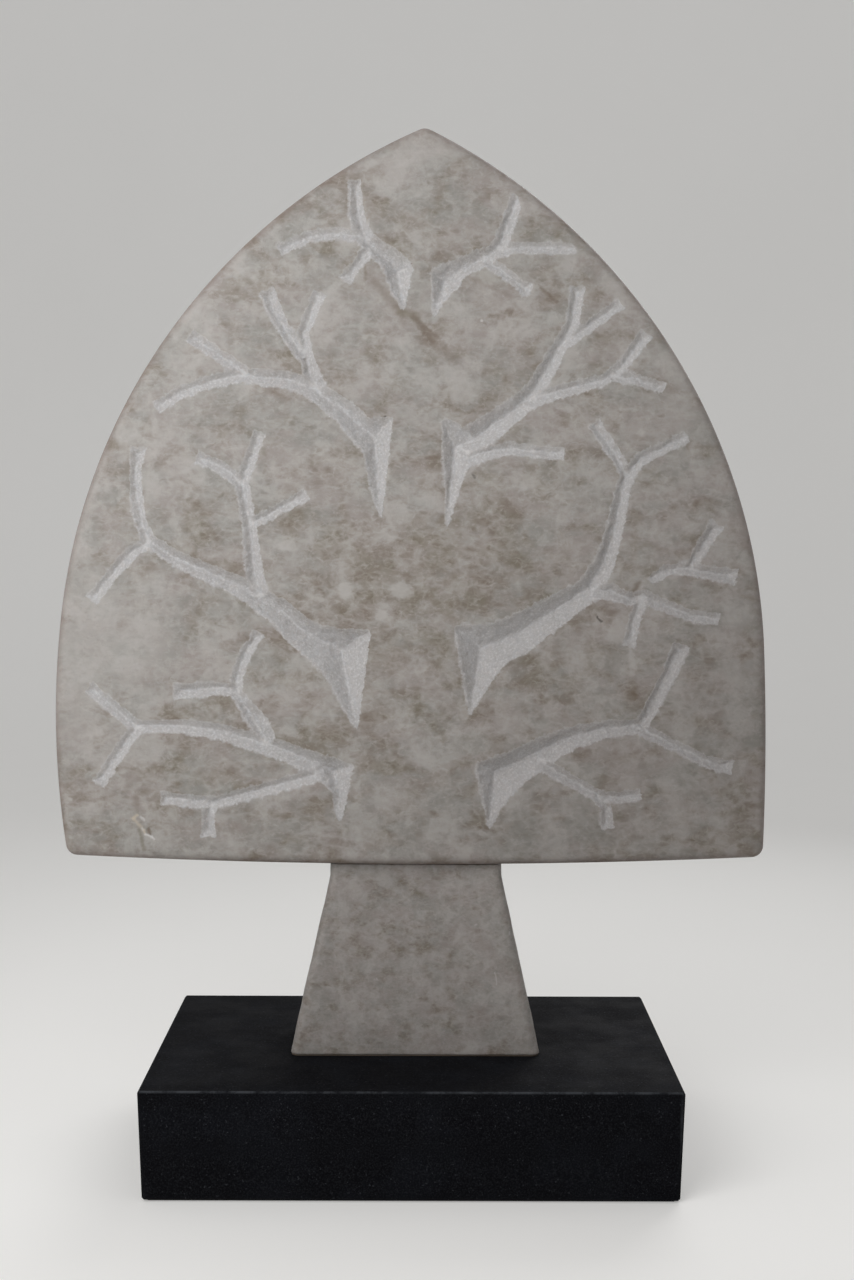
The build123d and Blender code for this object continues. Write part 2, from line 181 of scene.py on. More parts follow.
class Shader:
    """One material and the nodes that paint it, on Object coordinates in millimetres."""

    def __init__(self, name: str) -> None:
        """Starts a material with a Principled surface.

        Args:
            name: The material's name.
        """
        self.material = bpy.data.materials.new(name)
        self.material.use_nodes = True
        self.tree = self.material.node_tree
        self.surface = self.tree.nodes["Principled BSDF"]
        place = self.node("ShaderNodeTexCoord")
        self.place = self.node(
            "ShaderNodeMapping", {"Vector": place.outputs["Object"], "Scale": (1 / MM,) * 3}).outputs[0]

    def node(self, kind: str, inputs: dict | None = None, **settings: object) -> bpy.types.Node:
        """Adds a node.

        Args:
            kind: Blender's name of the node type.
            inputs: Values or sockets by input name or number.
            settings: Properties to set on the node.

        Returns:
            The node.
        """
        made = self.tree.nodes.new(kind)
        for name, value in settings.items():
            setattr(made, name, value)
        for name, value in (inputs or {}).items():
            self.put(made.inputs[name], value)
        return made

    def put(self, entry: Socket, value: object) -> None:
        """Gives an input a value, or links a socket to it.

        Args:
            entry: The input.
            value: Value or socket.
        """
        if isinstance(value, Socket):
            self.tree.links.new(value, entry)
        else:
            entry.default_value = value

    def stretched(self, scale: Sequence[float], turn: Sequence[float] = (0.0, 0.0, 0.0)) -> Socket:
        """Coordinates scaled by a factor along each axis, and turned about each by an angle in radians."""
        return self.node("ShaderNodeMapping", {"Vector": self.place, "Scale": scale, "Rotation": turn}).outputs[0]

    def noise(self, size: float, place: Socket | None = None, detail: float = 4.0,
              rough: float = 0.55, distort: float = 0.0) -> Socket:
        """Fractal noise whose main features are about this many millimetres across.

        Args:
            size: Feature size in millimetres.
            place: Coordinates; the material's own if None.
            detail: Octaves.
            rough: Share of strength that each octave keeps.
            distort: Distortion of the coordinates.

        Returns:
            The value socket.
        """
        return self.node("ShaderNodeTexNoise", {
            "Vector": place or self.place, "Scale": 1.0 / size, "Detail": detail,
            "Roughness": rough, "Distortion": distort}).outputs[0]

    def ramp(self, value: Socket, low: float, high: float,
             to_low: float = 0.0, to_high: float = 1.0) -> Socket:
        """Smooth remap of a value from low..high to to_low..to_high, clamped.

        Args:
            value: Socket to remap.
            low: Value that gives to_low.
            high: Value that gives to_high.
            to_low: Result at and below low.
            to_high: Result at and above high.

        Returns:
            The value socket.
        """
        inputs = {"Value": value, "From Min": low, "From Max": high, "To Min": to_low, "To Max": to_high}
        return self.node("ShaderNodeMapRange", inputs, interpolation_type="SMOOTHSTEP").outputs[0]

    def math(self, operation: str, first: object, second: object) -> Socket:
        """One step of arithmetic, by Blender's name of it, on two values or sockets."""
        return self.node("ShaderNodeMath", {0: first, 1: second}, operation=operation).outputs[0]

    def times(self, first: object, second: object) -> Socket:
        """Product of two values or sockets."""
        return self.math("MULTIPLY", first, second)

    def plus(self, first: object, second: object) -> Socket:
        """Sum of two values or sockets."""
        return self.math("ADD", first, second)

    def blend(self, share: object, first: object, second: object, mode: str = "MIX") -> Socket:
        """Mix of two colours.

        Args:
            share: Value or socket, 0 for first and 1 for second.
            first: Colour or socket.
            second: Colour or socket.
            mode: Blender's name of the blend.

        Returns:
            The colour socket.
        """
        inputs = {0: share, 6: first, 7: second}
        return self.node("ShaderNodeMix", inputs, data_type="RGBA", blend_type=mode).outputs[2]

    def vector(self, operation: str, first: object, second: object) -> Socket:
        """One step of arithmetic, by Blender's name of it, on two vectors or sockets, that gives a vector."""
        return self.node("ShaderNodeVectorMath", {0: first, 1: second}, operation=operation).outputs[0]

    def measure(self, operation: str, first: object, second: object = (0.0, 0.0, 0.0)) -> Socket:
        """One step of arithmetic, by Blender's name of it, on vectors or sockets, that gives a number."""
        return self.node("ShaderNodeVectorMath", {0: first, 1: second}, operation=operation).outputs["Value"]

    def wavering(self, place: Socket, size: float, reach: float) -> Socket:
        """Coordinates that noise moves about: p + reach n(p / size), with n a vector of 0 to 1.

        Args:
            place: Coordinates.
            size: Size of the waves in millimetres.
            reach: Full reach of the movement in millimetres.

        Returns:
            The vector socket.
        """
        sway = self.node("ShaderNodeTexNoise", {"Vector": place, "Scale": 1.0 / size, "Detail": 4.0})
        return self.vector("ADD", place, self.vector("MULTIPLY", sway.outputs["Color"], (reach,) * 3))

    def away(self, place: Socket, start: Sequence[float], end: Sequence[float]) -> Socket:
        """Distance from a straight line: |d - t w|, with d = p - start, w = end - start, t = d.w / w.w in 0..1.

        Args:
            place: Coordinates.
            start: One end of the line.
            end: The other end, or the same place for a point.

        Returns:
            The value socket.
        """
        way = np.subtract(end, start)
        apart = self.vector("SUBTRACT", place, tuple(start))
        if way.any():
            share = self.measure("DOT_PRODUCT", apart, tuple(way / (way @ way)))
            inputs = {0: tuple(way), "Scale": self.node("ShaderNodeClamp", {0: share}).outputs[0]}
            along = self.node("ShaderNodeVectorMath", inputs, operation="SCALE").outputs[0]
            apart = self.vector("SUBTRACT", apart, along)
        return self.measure("LENGTH", apart)

    def attribute(self, name: str) -> Socket:
        """A vertex attribute's value socket, 0 where a mesh has none."""
        return self.node("ShaderNodeAttribute", attribute_name=name).outputs["Fac"]

    def bump(self, height: Socket, depth: float, before: Socket | None = None) -> Socket:
        """Bump of a height of 0 to 1.

        Args:
            height: Height socket.
            depth: Its full depth in millimetres.
            before: Normal that it is laid on.

        Returns:
            The normal socket.
        """
        inputs = {"Height": height, "Distance": depth * MM, "Strength": 1.0}
        if before is not None:
            inputs["Normal"] = before
        return self.node("ShaderNodeBump", inputs).outputs[0]

    def feed(self, **inputs: object) -> bpy.types.Material:
        """Sets the surface's inputs, with _ for a space, and gives the material.

        Args:
            inputs: Values or sockets by input name.

        Returns:
            The material.
        """
        for name, value in inputs.items():
            self.put(self.surface.inputs[name.replace("_", " ")], value)
        return self.material


def tone(red: float, green: float, blue: float) -> tuple[float, float, float, float]:
    """A screen colour of 0 to 255 as linear light: ((c + 0.055) / 1.055)^2.4, or c / 12.92 near black.

    Args:
        red: Red, 0 to 255.
        green: Green, 0 to 255.
        blue: Blue, 0 to 255.

    Returns:
        Linear colour with an alpha of 1.
    """
    shares = (value / 255.0 for value in (red, green, blue))
    linear = [s / 12.92 if s <= 0.04045 else ((s + 0.055) / 1.055) ** 2.4 for s in shares]
    return (linear[0], linear[1], linear[2], 1.0)


class Vein(Enum):
    """Colours of cracks, stains and pits in the pale stone."""

    WHITE = tone(206, 204, 202)
    OCHRE = tone(196, 184, 166)
    BROWN = tone(112, 96, 80)
    OLIVE = tone(108, 98, 74)
    DARK = tone(72, 62, 54)
    RED = tone(104, 66, 58)


@dataclass(frozen=True)
class Flaw:
    """A crack, stain or pit in the front: from one place (x, z) to another, in millimetres."""

    start: tuple[float, float]
    end: tuple[float, float]
    wide: float
    vein: Vein
    strength: float = 0.7
    deep: float = 0.0

    def depth(self, points: np.ndarray) -> np.ndarray:
        """How deep it cuts in at points (x, z): deep exp(-(d / wide)^2), with d the distance from its line."""
        return self.deep * np.exp(-(self.distance(points) / self.wide) ** 2)

    def distance(self, points: np.ndarray) -> np.ndarray:
        """Distance from its line: |p - a - t w|, with w = b - a and t = (p - a).w / w.w kept in 0..1.

        Args:
            points: Array of shape (n, 2).

        Returns:
            Array of shape (n,).
        """
        way = np.subtract(self.end, self.start)
        apart = points - np.array(self.start)
        share = np.clip(apart @ way / max(float(way @ way), TINY), 0.0, 1.0)
        return np.linalg.norm(apart - share[:, None] * way, axis=1)


FLAWS = tuple(Flaw(*row) for row in (
    ((-160.5, 201.4), (-158.5, 203.7), 1.4, Vein.OCHRE, 0.75, 0.2),
    ((-160.5, 201.4), (-154.5, 194.9), 1.8, Vein.OCHRE, 0.55, 0.2),
    ((-156.4, 202.2), (-154.3, 200.6), 1.2, Vein.WHITE, 0.7),
    ((-155.9, 196.2), (-154.3, 194.7), 1.2, Vein.WHITE, 0.8, 0.3),
    ((-154.3, 194.7), (-153.4, 191.8), 1.0, Vein.OCHRE, 0.8, 0.3),
    ((-153.4, 191.8), (-149.9, 190.9), 1.5, Vein.WHITE, 0.9),
    ((-149.9, 190.9), (-148.6, 189.4), 0.9, Vein.WHITE, 0.7),
    ((-152.2, 195.5), (-151.4, 192.9), 1.8, Vein.BROWN, 0.8, 0.4),
    ((-157.2, 195.2), (-154.5, 183.5), 2.2, Vein.OLIVE, 0.45),
    ((-158.8, 214.0), (-158.0, 207.0), 3.6, Vein.BROWN, 0.4),
    ((-21.5, 509.0), (-6.5, 492.5), 5.0, Vein.BROWN, 0.45),
    ((-6.5, 492.5), (2.2, 489.6), 4.2, Vein.OLIVE, 0.5, 0.2),
    ((1.2, 490.0), (12.0, 476.0), 3.6, Vein.BROWN, 0.55, 0.4),
    ((4.0, 487.0), (15.5, 477.5), 1.6, Vein.BROWN, 0.4, 0.2),
    ((12.4, 475.0), (23.0, 466.0), 4.6, Vein.BROWN, 0.35),
    ((72.7, 506.2), (82.1, 498.7), 1.8, Vein.BROWN, 0.6, 0.2),
    ((30.4, 512.8), (55.8, 501.6), 2.2, Vein.BROWN, 0.25),
    ((39.3, 488.0), (39.3, 488.0), 1.2, Vein.WHITE, 0.8),
    ((-15.3, 433.0), (-15.3, 433.0), 1.3, Vein.DARK, 0.8, 0.5),
    ((34.6, 400.3), (36.0, 399.0), 1.2, Vein.DARK, 0.6, 0.3),
    ((8.5, 410.0), (15.5, 411.0), 1.8, Vein.BROWN, 0.6),
    ((106.8, 319.2), (109.0, 316.6), 1.1, Vein.DARK, 0.8, 0.5),
    ((127.2, 328.9), (127.2, 328.9), 3.0, Vein.DARK, 0.8, 1.0),
    ((127.5, 332.0), (130.5, 339.0), 3.0, Vein.BROWN, 0.6, 0.5),
    ((127.9, 275.2), (127.9, 275.2), 5.0, Vein.BROWN, 0.7),
    ((-0.7, 519.5), (-0.7, 519.5), 0.9, Vein.RED, 0.7),
    ((-22.0, 525.2), (-20.4, 521.8), 1.3, Vein.BROWN, 0.7, 0.3),
    ((-27.2, 518.0), (-26.4, 511.0), 2.0, Vein.BROWN, 0.5),
    ((49.6, 111.0), (50.4, 104.0), 0.8, Vein.WHITE, 0.45),
    ((58.0, 134.0), (58.0, 132.5), 1.0, Vein.WHITE, 0.45),
    ((38.2, 138.6), (38.2, 138.6), 1.2, Vein.WHITE, 0.4),
    ((-19.6, 107.3), (-19.6, 107.3), 1.1, Vein.WHITE, 0.45),
))


@dataclass(frozen=True)
class PaleStoneFinish:
    """Dressed alabaster: grey and mauve ground, olive-brown lenses in a web of pale fibres, white cuts.

    It reads nine vertex attributes, each 0 where a mesh has none: tint (browner above 0, paler below),
    veil (white blotches), dusk (painted shade: darker to the right, downwards and on the trunk), fine (finer
    figure), face (front side), edge (painted warm cast of light on the rim), cut (tooled surface), worked (how
    far the tool whitened it, less on flanks that face away from the lamp, a painted shade) and arris (bruised
    crease).
    """

    grey: tuple = tone(142, 139, 133)
    mauve: tuple = tone(154, 146, 141)
    brown: tuple = tone(121, 107, 94)
    olive: tuple = tone(114, 103, 84)
    # painted shade: the stone is multiplied by this colour where the shade attribute is set
    painted_shade: tuple = (0.75, 0.735, 0.73, 1.0)
    fibre: tuple = tone(184, 180, 176)
    cut: tuple = tone(192, 190, 190)
    bruise: tuple = tone(226, 225, 225)
    # painted warm cast of light, a reddish-brown band along the front rim
    rim: tuple = tone(120, 90, 80)
    webs: tuple = ((8.5, 0.42), (3.6, 0.26))  # cell size in millimetres and strength
    pitting: float = 0.16
    rasping: float = 0.55

    def laid(self, shader: Shader, scale: Sequence[float]) -> Socket:
        """Coordinates for the stone's figure, stretched by scale (1 + fine), with fine the attribute."""
        closer = shader.plus(shader.attribute("fine"), 1.0)
        return shader.vector("MULTIPLY", shader.stretched(scale), closer)

    def ground(self, shader: Shader, place: Socket) -> Socket:
        """Colour of the undressed stone: ground, earthy lenses, milky drifts, webs of cells, flecks, veils.

        Args:
            shader: The material being made.
            place: Wavering coordinates.

        Returns:
            The colour socket.
        """
        broad = shader.ramp(shader.noise(26.0, place, 6.0, 0.66), 0.4, 0.62)
        colour = shader.blend(broad, self.grey, self.mauve)
        tint = shader.attribute("tint")
        colour = shader.blend(shader.ramp(tint, -1.0, -0.2, 0.42, 0.0), colour, self.fibre)
        crowding = shader.ramp(shader.noise(34.0), 0.35, 0.65, -0.05, 0.05)
        lens = shader.plus(shader.noise(12.0, place, 5.0, 0.52), crowding)
        lens = shader.plus(lens, shader.times(tint, 0.15))
        earth = shader.blend(shader.ramp(shader.noise(24.0, place, 3.0), 0.45, 0.6), self.brown, self.olive)
        colour = shader.blend(shader.ramp(lens, 0.45, 0.72, 0.0, 0.8), colour, earth)
        drift = shader.wavering(self.laid(shader, (1.0, 0.9, 0.8)), 20.0, 16.0)
        milk = shader.ramp(shader.noise(17.0, drift, 6.0, 0.6), 0.45, 0.64, 0.0, 0.55)
        colour = shader.blend(milk, colour, self.fibre)
        curled = shader.wavering(self.laid(shader, (0.7, 0.8, 1.08)), 4.5, 5.0)
        earthy = shader.ramp(lens, 0.38, 0.62, 0.2, 1.0)
        for size, strength in self.webs:
            cells = {"Vector": curled, "Scale": 1 / size}
            shades = shader.node("ShaderNodeTexVoronoi", cells | {"Smoothness": 0.4}, feature="SMOOTH_F1")
            dark = shader.times(shader.ramp(shades.outputs["Color"], 0.45, 0.85, 0.0, strength), earthy)
            colour = shader.blend(dark, colour, self.brown)
            wall = shader.node("ShaderNodeTexVoronoi", cells, feature="DISTANCE_TO_EDGE").outputs["Distance"]
            patchy = shader.ramp(shader.noise(2.2 * size, place), 0.36, 0.62, 0.1, 1.0)
            web = shader.times(shader.ramp(wall, 0.0, 0.3, 0.9 * strength, 0.0), patchy)
            colour = shader.blend(web, colour, self.fibre)
        fleck = shader.ramp(shader.noise(3.0, curled, 5.0, 0.66), 0.48, 0.7)
        colour = shader.blend(shader.times(fleck, 0.4), colour, self.fibre)
        speck = shader.ramp(shader.noise(2.6, detail=5.0, rough=0.66), 0.52, 0.76)
        colour = shader.blend(shader.times(speck, 0.2), colour, self.brown)
        cloud = shader.times(shader.math("SUBTRACT", shader.noise(4.0, curled), 0.5), 0.9)
        veil = shader.plus(shader.attribute("veil"), cloud)
        return shader.blend(shader.ramp(veil, 0.3, 0.75, 0.0, 0.65), colour, self.fibre)

    def flawed(self, shader: Shader, colour: Socket) -> Socket:
        """The colour with every flaw laid over it, on the front alone.

        Args:
            shader: The material being made.
            colour: The stone's colour.

        Returns:
            The colour socket.
        """
        sway = 2.6
        flat = shader.wavering(shader.stretched((1.0, 0.0, 1.0)), 3.0, sway)
        flat = shader.vector("SUBTRACT", flat, (sway / 2,) * 3)
        flat = shader.vector("MULTIPLY", flat, (1.0, 0.0, 1.0))
        face = shader.attribute("face")
        for flaw in FLAWS:
            (x, z), (x_end, z_end) = flaw.start, flaw.end
            distance = shader.away(flat, (x, 0.0, z), (x_end, 0.0, z_end))
            share = shader.ramp(distance, 0.0, flaw.wide, flaw.strength, 0.0)
            colour = shader.blend(shader.times(share, face), colour, flaw.vein.value)
        return colour

    def material(self) -> bpy.types.Material:
        """The finished material: the flawed ground, a painted warm cast of light on the rim, whitened cuts and
        creases, then painted shade.
        """
        shader = Shader("pale_stone")
        place = shader.wavering(self.laid(shader, (0.68, 0.8, 1.1)), 12.0, 10.0)
        colour = self.flawed(shader, self.ground(shader, place))
        # painted warm cast of light along the front rim
        colour = shader.blend(shader.times(shader.attribute("edge"), 0.3), colour, self.rim)
        ragged = shader.times(shader.math("SUBTRACT", shader.noise(1.6, detail=3.0), 0.5), 0.16)
        cut = shader.ramp(shader.plus(shader.attribute("cut"), ragged), 0.05, 0.24)
        # less whitening on flanks facing away from the lamp: painted shade
        cut = shader.times(cut, shader.attribute("cut_cover_painted_shade"))
        scuff = shader.ramp(shader.noise(1.5, detail=5.0, rough=0.75), 0.3, 0.62, 0.6, 0.96)
        colour = shader.blend(shader.times(cut, scuff), colour, self.cut)
        grain = shader.ramp(shader.noise(1.4, detail=3.0, rough=0.7), 0.46, 0.7, 0.0, 0.5)
        colour = shader.blend(shader.times(cut, grain), colour, self.bruise)
        pale_edge = shader.ramp(shader.noise(5.0), 0.3, 0.6, 0.0, 0.5)
        arris = shader.times(shader.ramp(shader.attribute("arris"), 0.2, 0.8), pale_edge)
        colour = shader.blend(arris, colour, self.bruise)
        # painted shade: the stone is darkened to the right, downwards and over the trunk
        colour = shader.blend(shader.attribute("painted_shade"), colour, self.painted_shade, "MULTIPLY")
        normal = shader.bump(shader.noise(2.6, detail=5.0, rough=0.65), self.pitting)
        rasp = shader.times(shader.noise(1.2, detail=5.0, rough=0.75), cut)
        normal = shader.bump(rasp, self.rasping, normal)
        return shader.feed(
            Base_Color=colour, Roughness=shader.ramp(cut, 0.0, 1.0, 0.5, 0.85), Normal=normal,
            Subsurface_Weight=0.55, Subsurface_Scale=0.003, Subsurface_Radius=(1.0, 0.85, 0.75))


@dataclass(frozen=True)
class BlackStoneFinish:
    """Honed black stone: blue-grey cast, fine pale specks, faint smears, scratches, and paler along the front top
    arris and the front right corner.
    """

    ground: tuple = tone(10, 10, 13)
    smear: tuple = tone(15, 16, 20)
    speck: tuple = tone(60, 62, 66)
    # pale tone laid along the front top arris and, fainter, the front right corner
    pale_edge: tuple = tone(92, 95, 100)
    arris_ends: tuple = ((-149.0, -99.6, 62.6), (149.0, -99.6, 62.6))
    corner_ends: tuple = ((149.5, -99.5, 62.0), (149.5, -99.5, 4.0))
    pitting: float = 0.05
    scratching: float = 0.03

    def material(self) -> bpy.types.Material:
        """The finished material."""
        shader = Shader("black_stone")
        smears = shader.ramp(shader.noise(30.0, detail=6.0, rough=0.62), 0.42, 0.68)
        specks = shader.ramp(shader.noise(1.5, detail=2.0, rough=0.6), 0.64, 0.74)
        dust = shader.ramp(shader.noise(0.9, detail=3.0, rough=0.7), 0.42, 0.72)
        colour = shader.blend(smears, self.ground, self.smear)
        colour = shader.blend(shader.times(dust, 0.22), colour, self.speck)
        colour = shader.blend(shader.times(specks, 0.6), colour, self.speck)
        # paler along the front top arris and, fainter, the front right corner
        for ends, strength in ((self.arris_ends, 0.55), (self.corner_ends, 0.2)):
            pale_line = shader.ramp(shader.away(shader.place, *ends), 0.3, 1.5, strength, 0.0)
            patchy = shader.ramp(shader.noise(13.0, detail=6.0, rough=0.7), 0.36, 0.62, 0.1, 1.0)
            colour = shader.blend(shader.times(pale_line, patchy), colour, self.pale_edge)
        scratch = shader.noise(2.0, shader.stretched((0.04, 1.0, 1.0), (0.0, 0.5, 0.3)), 2.0)
        normal = shader.bump(shader.noise(1.0, detail=3.0), self.pitting)
        normal = shader.bump(shader.ramp(scratch, 0.6, 0.66), self.scratching, normal)
        rough = shader.ramp(shader.noise(24.0, detail=4.0), 0.3, 0.7, 0.68, 0.82)
        return shader.feed(Base_Color=colour, Roughness=rough, Normal=normal, Specular_IOR_Level=0.03)


@dataclass(frozen=True)
class ResinFinish:
    """Cast resin: dark, cloudy, with fine bubbles."""

    ground: tuple = tone(74, 62, 50)
    cloud: tuple = tone(104, 92, 78)

    def material(self) -> bpy.types.Material:
        """The finished material."""
        shader = Shader("resin")
        colour = shader.blend(shader.noise(9.0), self.ground, self.cloud)
        bubbles = shader.ramp(shader.noise(0.9, detail=1.0), 0.6, 0.7)
        return shader.feed(Base_Color=colour, Roughness=0.4, Normal=shader.bump(bubbles, 0.1))


@dataclass(frozen=True)
class SteelFinish:
    """Drawn stainless bar: fine lines along its length, faint tarnish."""

    ground: tuple = tone(196, 196, 194)
    tarnish: tuple = tone(160, 156, 150)

    def material(self) -> bpy.types.Material:
        """The finished material."""
        shader = Shader("stainless_steel")
        lines = shader.noise(0.5, shader.stretched((1.0, 1.0, 0.04)), 3.0)
        colour = shader.blend(shader.ramp(shader.noise(8.0), 0.45, 0.7), self.ground, self.tarnish)
        return shader.feed(Base_Color=colour, Metallic=1.0, Roughness=shader.ramp(lines, 0.3, 0.7, 0.22, 0.4),
                           Normal=shader.bump(lines, 0.02))


@dataclass(frozen=True)
class FeltFinish:
    """Pressed black felt: matted fibres and a little lint."""

    ground: tuple = tone(26, 27, 30)
    lint: tuple = tone(70, 70, 74)

    def material(self) -> bpy.types.Material:
        """The finished material."""
        shader = Shader("felt")
        fibres = shader.noise(0.6, detail=5.0, rough=0.75, distort=1.5)
        colour = shader.blend(shader.ramp(fibres, 0.55, 0.8), self.ground, self.lint)
        return shader.feed(Base_Color=colour, Roughness=0.95, Normal=shader.bump(fibres, 0.4))


class Finish(Enum):
    """The finishes, by the name of the material slot that each one fills."""

    PALE_STONE = "pale_stone"
    BLACK_STONE = "black_stone"
    RESIN = "resin"
    STAINLESS_STEEL = "stainless_steel"
    FELT = "felt"


class FinishRack:
    """Makes each finish once and puts it on pieces."""

    def __init__(self) -> None:
        """Makes every material, in the order of the finishes."""
        makers = (PaleStoneFinish(), BlackStoneFinish(), ResinFinish(), SteelFinish(), FeltFinish())
        self.materials = {finish: maker.material() for finish, maker in zip(Finish, makers)}

    def dress(self, piece: bpy.types.Object, finish: Finish) -> None:
        """Gives a piece one finish all over."""
        piece.data.materials.clear()
        piece.data.materials.append(self.materials[finish])


# ---------------------------------------------------------------- crown


@dataclass(frozen=True)
class CrownSize:
    """Sizes of the crown, in millimetres; heights are above its lowest point."""

    base: float = 174.5
    width: float = 411.8
    height: float = 422.5
    thickness: float = 66.0
    bow: float = 5.0
    apex_offset: float = 6.9
    front_round: float = 6.0
    back_round: float = 3.5
    apex_round: float = 7.5
    corner_round: float = 7.0
    left_belly: tuple[float, float, float] = (83.5, 508.0, 147.0)
    right_belly: tuple[float, float, float] = (53.4, 1495.0, 125.7)
    outline_step: float = 1.5


class CrownOutline:
    """The crown's closed outline: five arcs, with its three corners rounded."""

    def __init__(self, size: CrownSize) -> None:
        """Works out the five circles, in clockwise order from the left corner.

        Args:
            size: The crown's sizes.
        """
        self.size = size
        left_foot, left_top = self.side(-1.0, *size.left_belly)
        right_foot, right_top = self.side(1.0, *size.right_belly)
        self.circles = [left_foot, left_top, right_top, right_foot, self.underside(left_foot, right_foot)]
        self.line, self.ways = self.trace(size.outline_step)

    def side(self, hand: float, belly: float, radius: float, shoulder: float) -> tuple:
        """Foot circle and top circle of one side; the top one touches it and passes the apex.

        The top radius is |rise|^2 / (2 inward . rise), with rise from the shoulder to the apex and
        inward the unit vector from the shoulder to the foot circle's centre.

        Args:
            hand: -1 for left, 1 for right.
            belly: Height of the widest point.
            radius: Radius of the foot circle.
            shoulder: Height at which the circles touch.

        Returns:
            Two circles, each a centre and a radius.
        """
        centre = np.array([hand * (self.size.width / 2 - radius), belly])
        meet = np.array([centre[0] + hand * math.sqrt(radius**2 - (shoulder - belly) ** 2), shoulder])
        inward = (centre - meet) / radius
        rise = np.array([self.size.apex_offset, self.size.height]) - meet
        top_radius = float(rise @ rise / (2 * inward @ rise))
        return (centre, radius), (meet + inward * top_radius, top_radius)

    def underside(self, left: tuple, right: tuple) -> tuple:
        """Circle through both foot corners and the lowest point, the origin.

        It is |p|^2 = 2 c . p for each corner p, solved for the centre c.

        Args:
            left: The left foot circle.
            right: The right foot circle.

        Returns:
            The circle's centre and radius.
        """
        corners = np.array([
            [c[0] + hand * math.sqrt(r**2 - (self.size.bow - c[1]) ** 2), self.size.bow]
            for hand, (c, r) in ((-1.0, left), (1.0, right))])
        centre = np.linalg.solve(2 * corners, (corners**2).sum(axis=1))
        return centre, float(np.linalg.norm(centre))

    @staticmethod
    def crossing(first: tuple, second: tuple, near: np.ndarray) -> np.ndarray:
        """The crossing of two circles that lies nearer to a point.

        Args:
            first: Centre and radius.
            second: Centre and radius.
            near: The point that chooses between the two crossings.

        Returns:
            The crossing's place.
        """
        (a, ra), (b, rb) = first, second
        gap = float(np.linalg.norm(b - a))
        way = (b - a) / gap
        along = (ra**2 - rb**2 + gap**2) / (2 * gap)
        across = math.sqrt(ra**2 - along**2) * np.array([-way[1], way[0]])
        choices = [a + way * along + across, a + way * along - across]
        return min(choices, key=lambda place: float(np.linalg.norm(place - near)))

    def corners(self) -> list[tuple]:
        """Between each circle and the next: the rounding's centre and radius (0 at a shoulder)."""
        size = self.size
        rounds = [0.0, size.apex_round, 0.0, size.corner_round, size.corner_round]
        hints = [None, (size.apex_offset, size.height), None, (size.width / 2, 0.0), (-size.width / 2, 0.0)]
        found = []
        for k, (radius, hint) in enumerate(zip(rounds, hints)):
            (a, ra), (b, rb) = self.circles[k], self.circles[(k + 1) % len(self.circles)]
            if hint is None:
                big, radius_big, small = (a, ra, b) if ra > rb else (b, rb, a)
                found.append((big + (small - big) / np.linalg.norm(small - big) * radius_big, 0.0))
            else:
                found.append((self.crossing((a, ra - radius), (b, rb - radius), np.array(hint)), radius))
        return found

    @staticmethod
    def arc(circle: tuple, start: np.ndarray, end: np.ndarray, step: float) -> tuple[np.ndarray, np.ndarray]:
        """Points and outward normals of an arc, centre + radius (cos a, sin a), without its last point.

        Args:
            circle: Centre and radius.
            start: A point in the direction of the arc's start.
            end: A point in the direction of its end.
            step: Distance between points.

        Returns:
            Points and normals, each of shape (n, 2).
        """
        centre, radius = circle
        first = math.atan2(start[1] - centre[1], start[0] - centre[0])
        last = math.atan2(end[1] - centre[1], end[0] - centre[0])
        turn = (last - first + math.pi) % (2 * math.pi) - math.pi
        count = max(math.ceil(abs(turn) * radius / step), 3)
        angles = first + turn * np.arange(count) / count
        normals = np.stack([np.cos(angles), np.sin(angles)], axis=1)
        return centre + radius * normals, normals

    def trace(self, step: float) -> tuple[np.ndarray, np.ndarray]:
        """The whole outline, clockwise seen from the front.

        Args:
            step: Distance between points on the long arcs.

        Returns:
            Points and outward normals, each of shape (n, 2).
        """
        corners = self.corners()
        parts = []
        for k, circle in enumerate(self.circles):
            before, _ = corners[k - 1]
            after, after_round = corners[k]
            parts.append(self.arc(circle, before, after, step))
            if after_round:
                following = self.circles[(k + 1) % len(self.circles)]
                start = after + (after - circle[0])
                end = after + (after - following[0])
                parts.append(self.arc((after, after_round), start, end, step / 2))
        points, normals = zip(*parts)
        return np.concatenate(points), np.concatenate(normals)

    def inside(self, points: np.ndarray) -> np.ndarray:
        """Distance from the outline: -(p - q) . n, with q its nearest point and n the normal there.

        q is the one with the least |q|^2 - 2 p . q.

        Args:
            points: Array of shape (n, 2).

        Returns:
            Array of shape (n,), negative outside.
        """
        own = (self.line**2).sum(axis=1)
        block_size = 4096
        blocks = np.array_split(points, max(len(points) // block_size, 1))
        nearest = np.concatenate([(own - 2.0 * block @ self.line.T).argmin(axis=1) for block in blocks])
        return -((points - self.line[nearest]) * self.ways[nearest]).sum(axis=1)


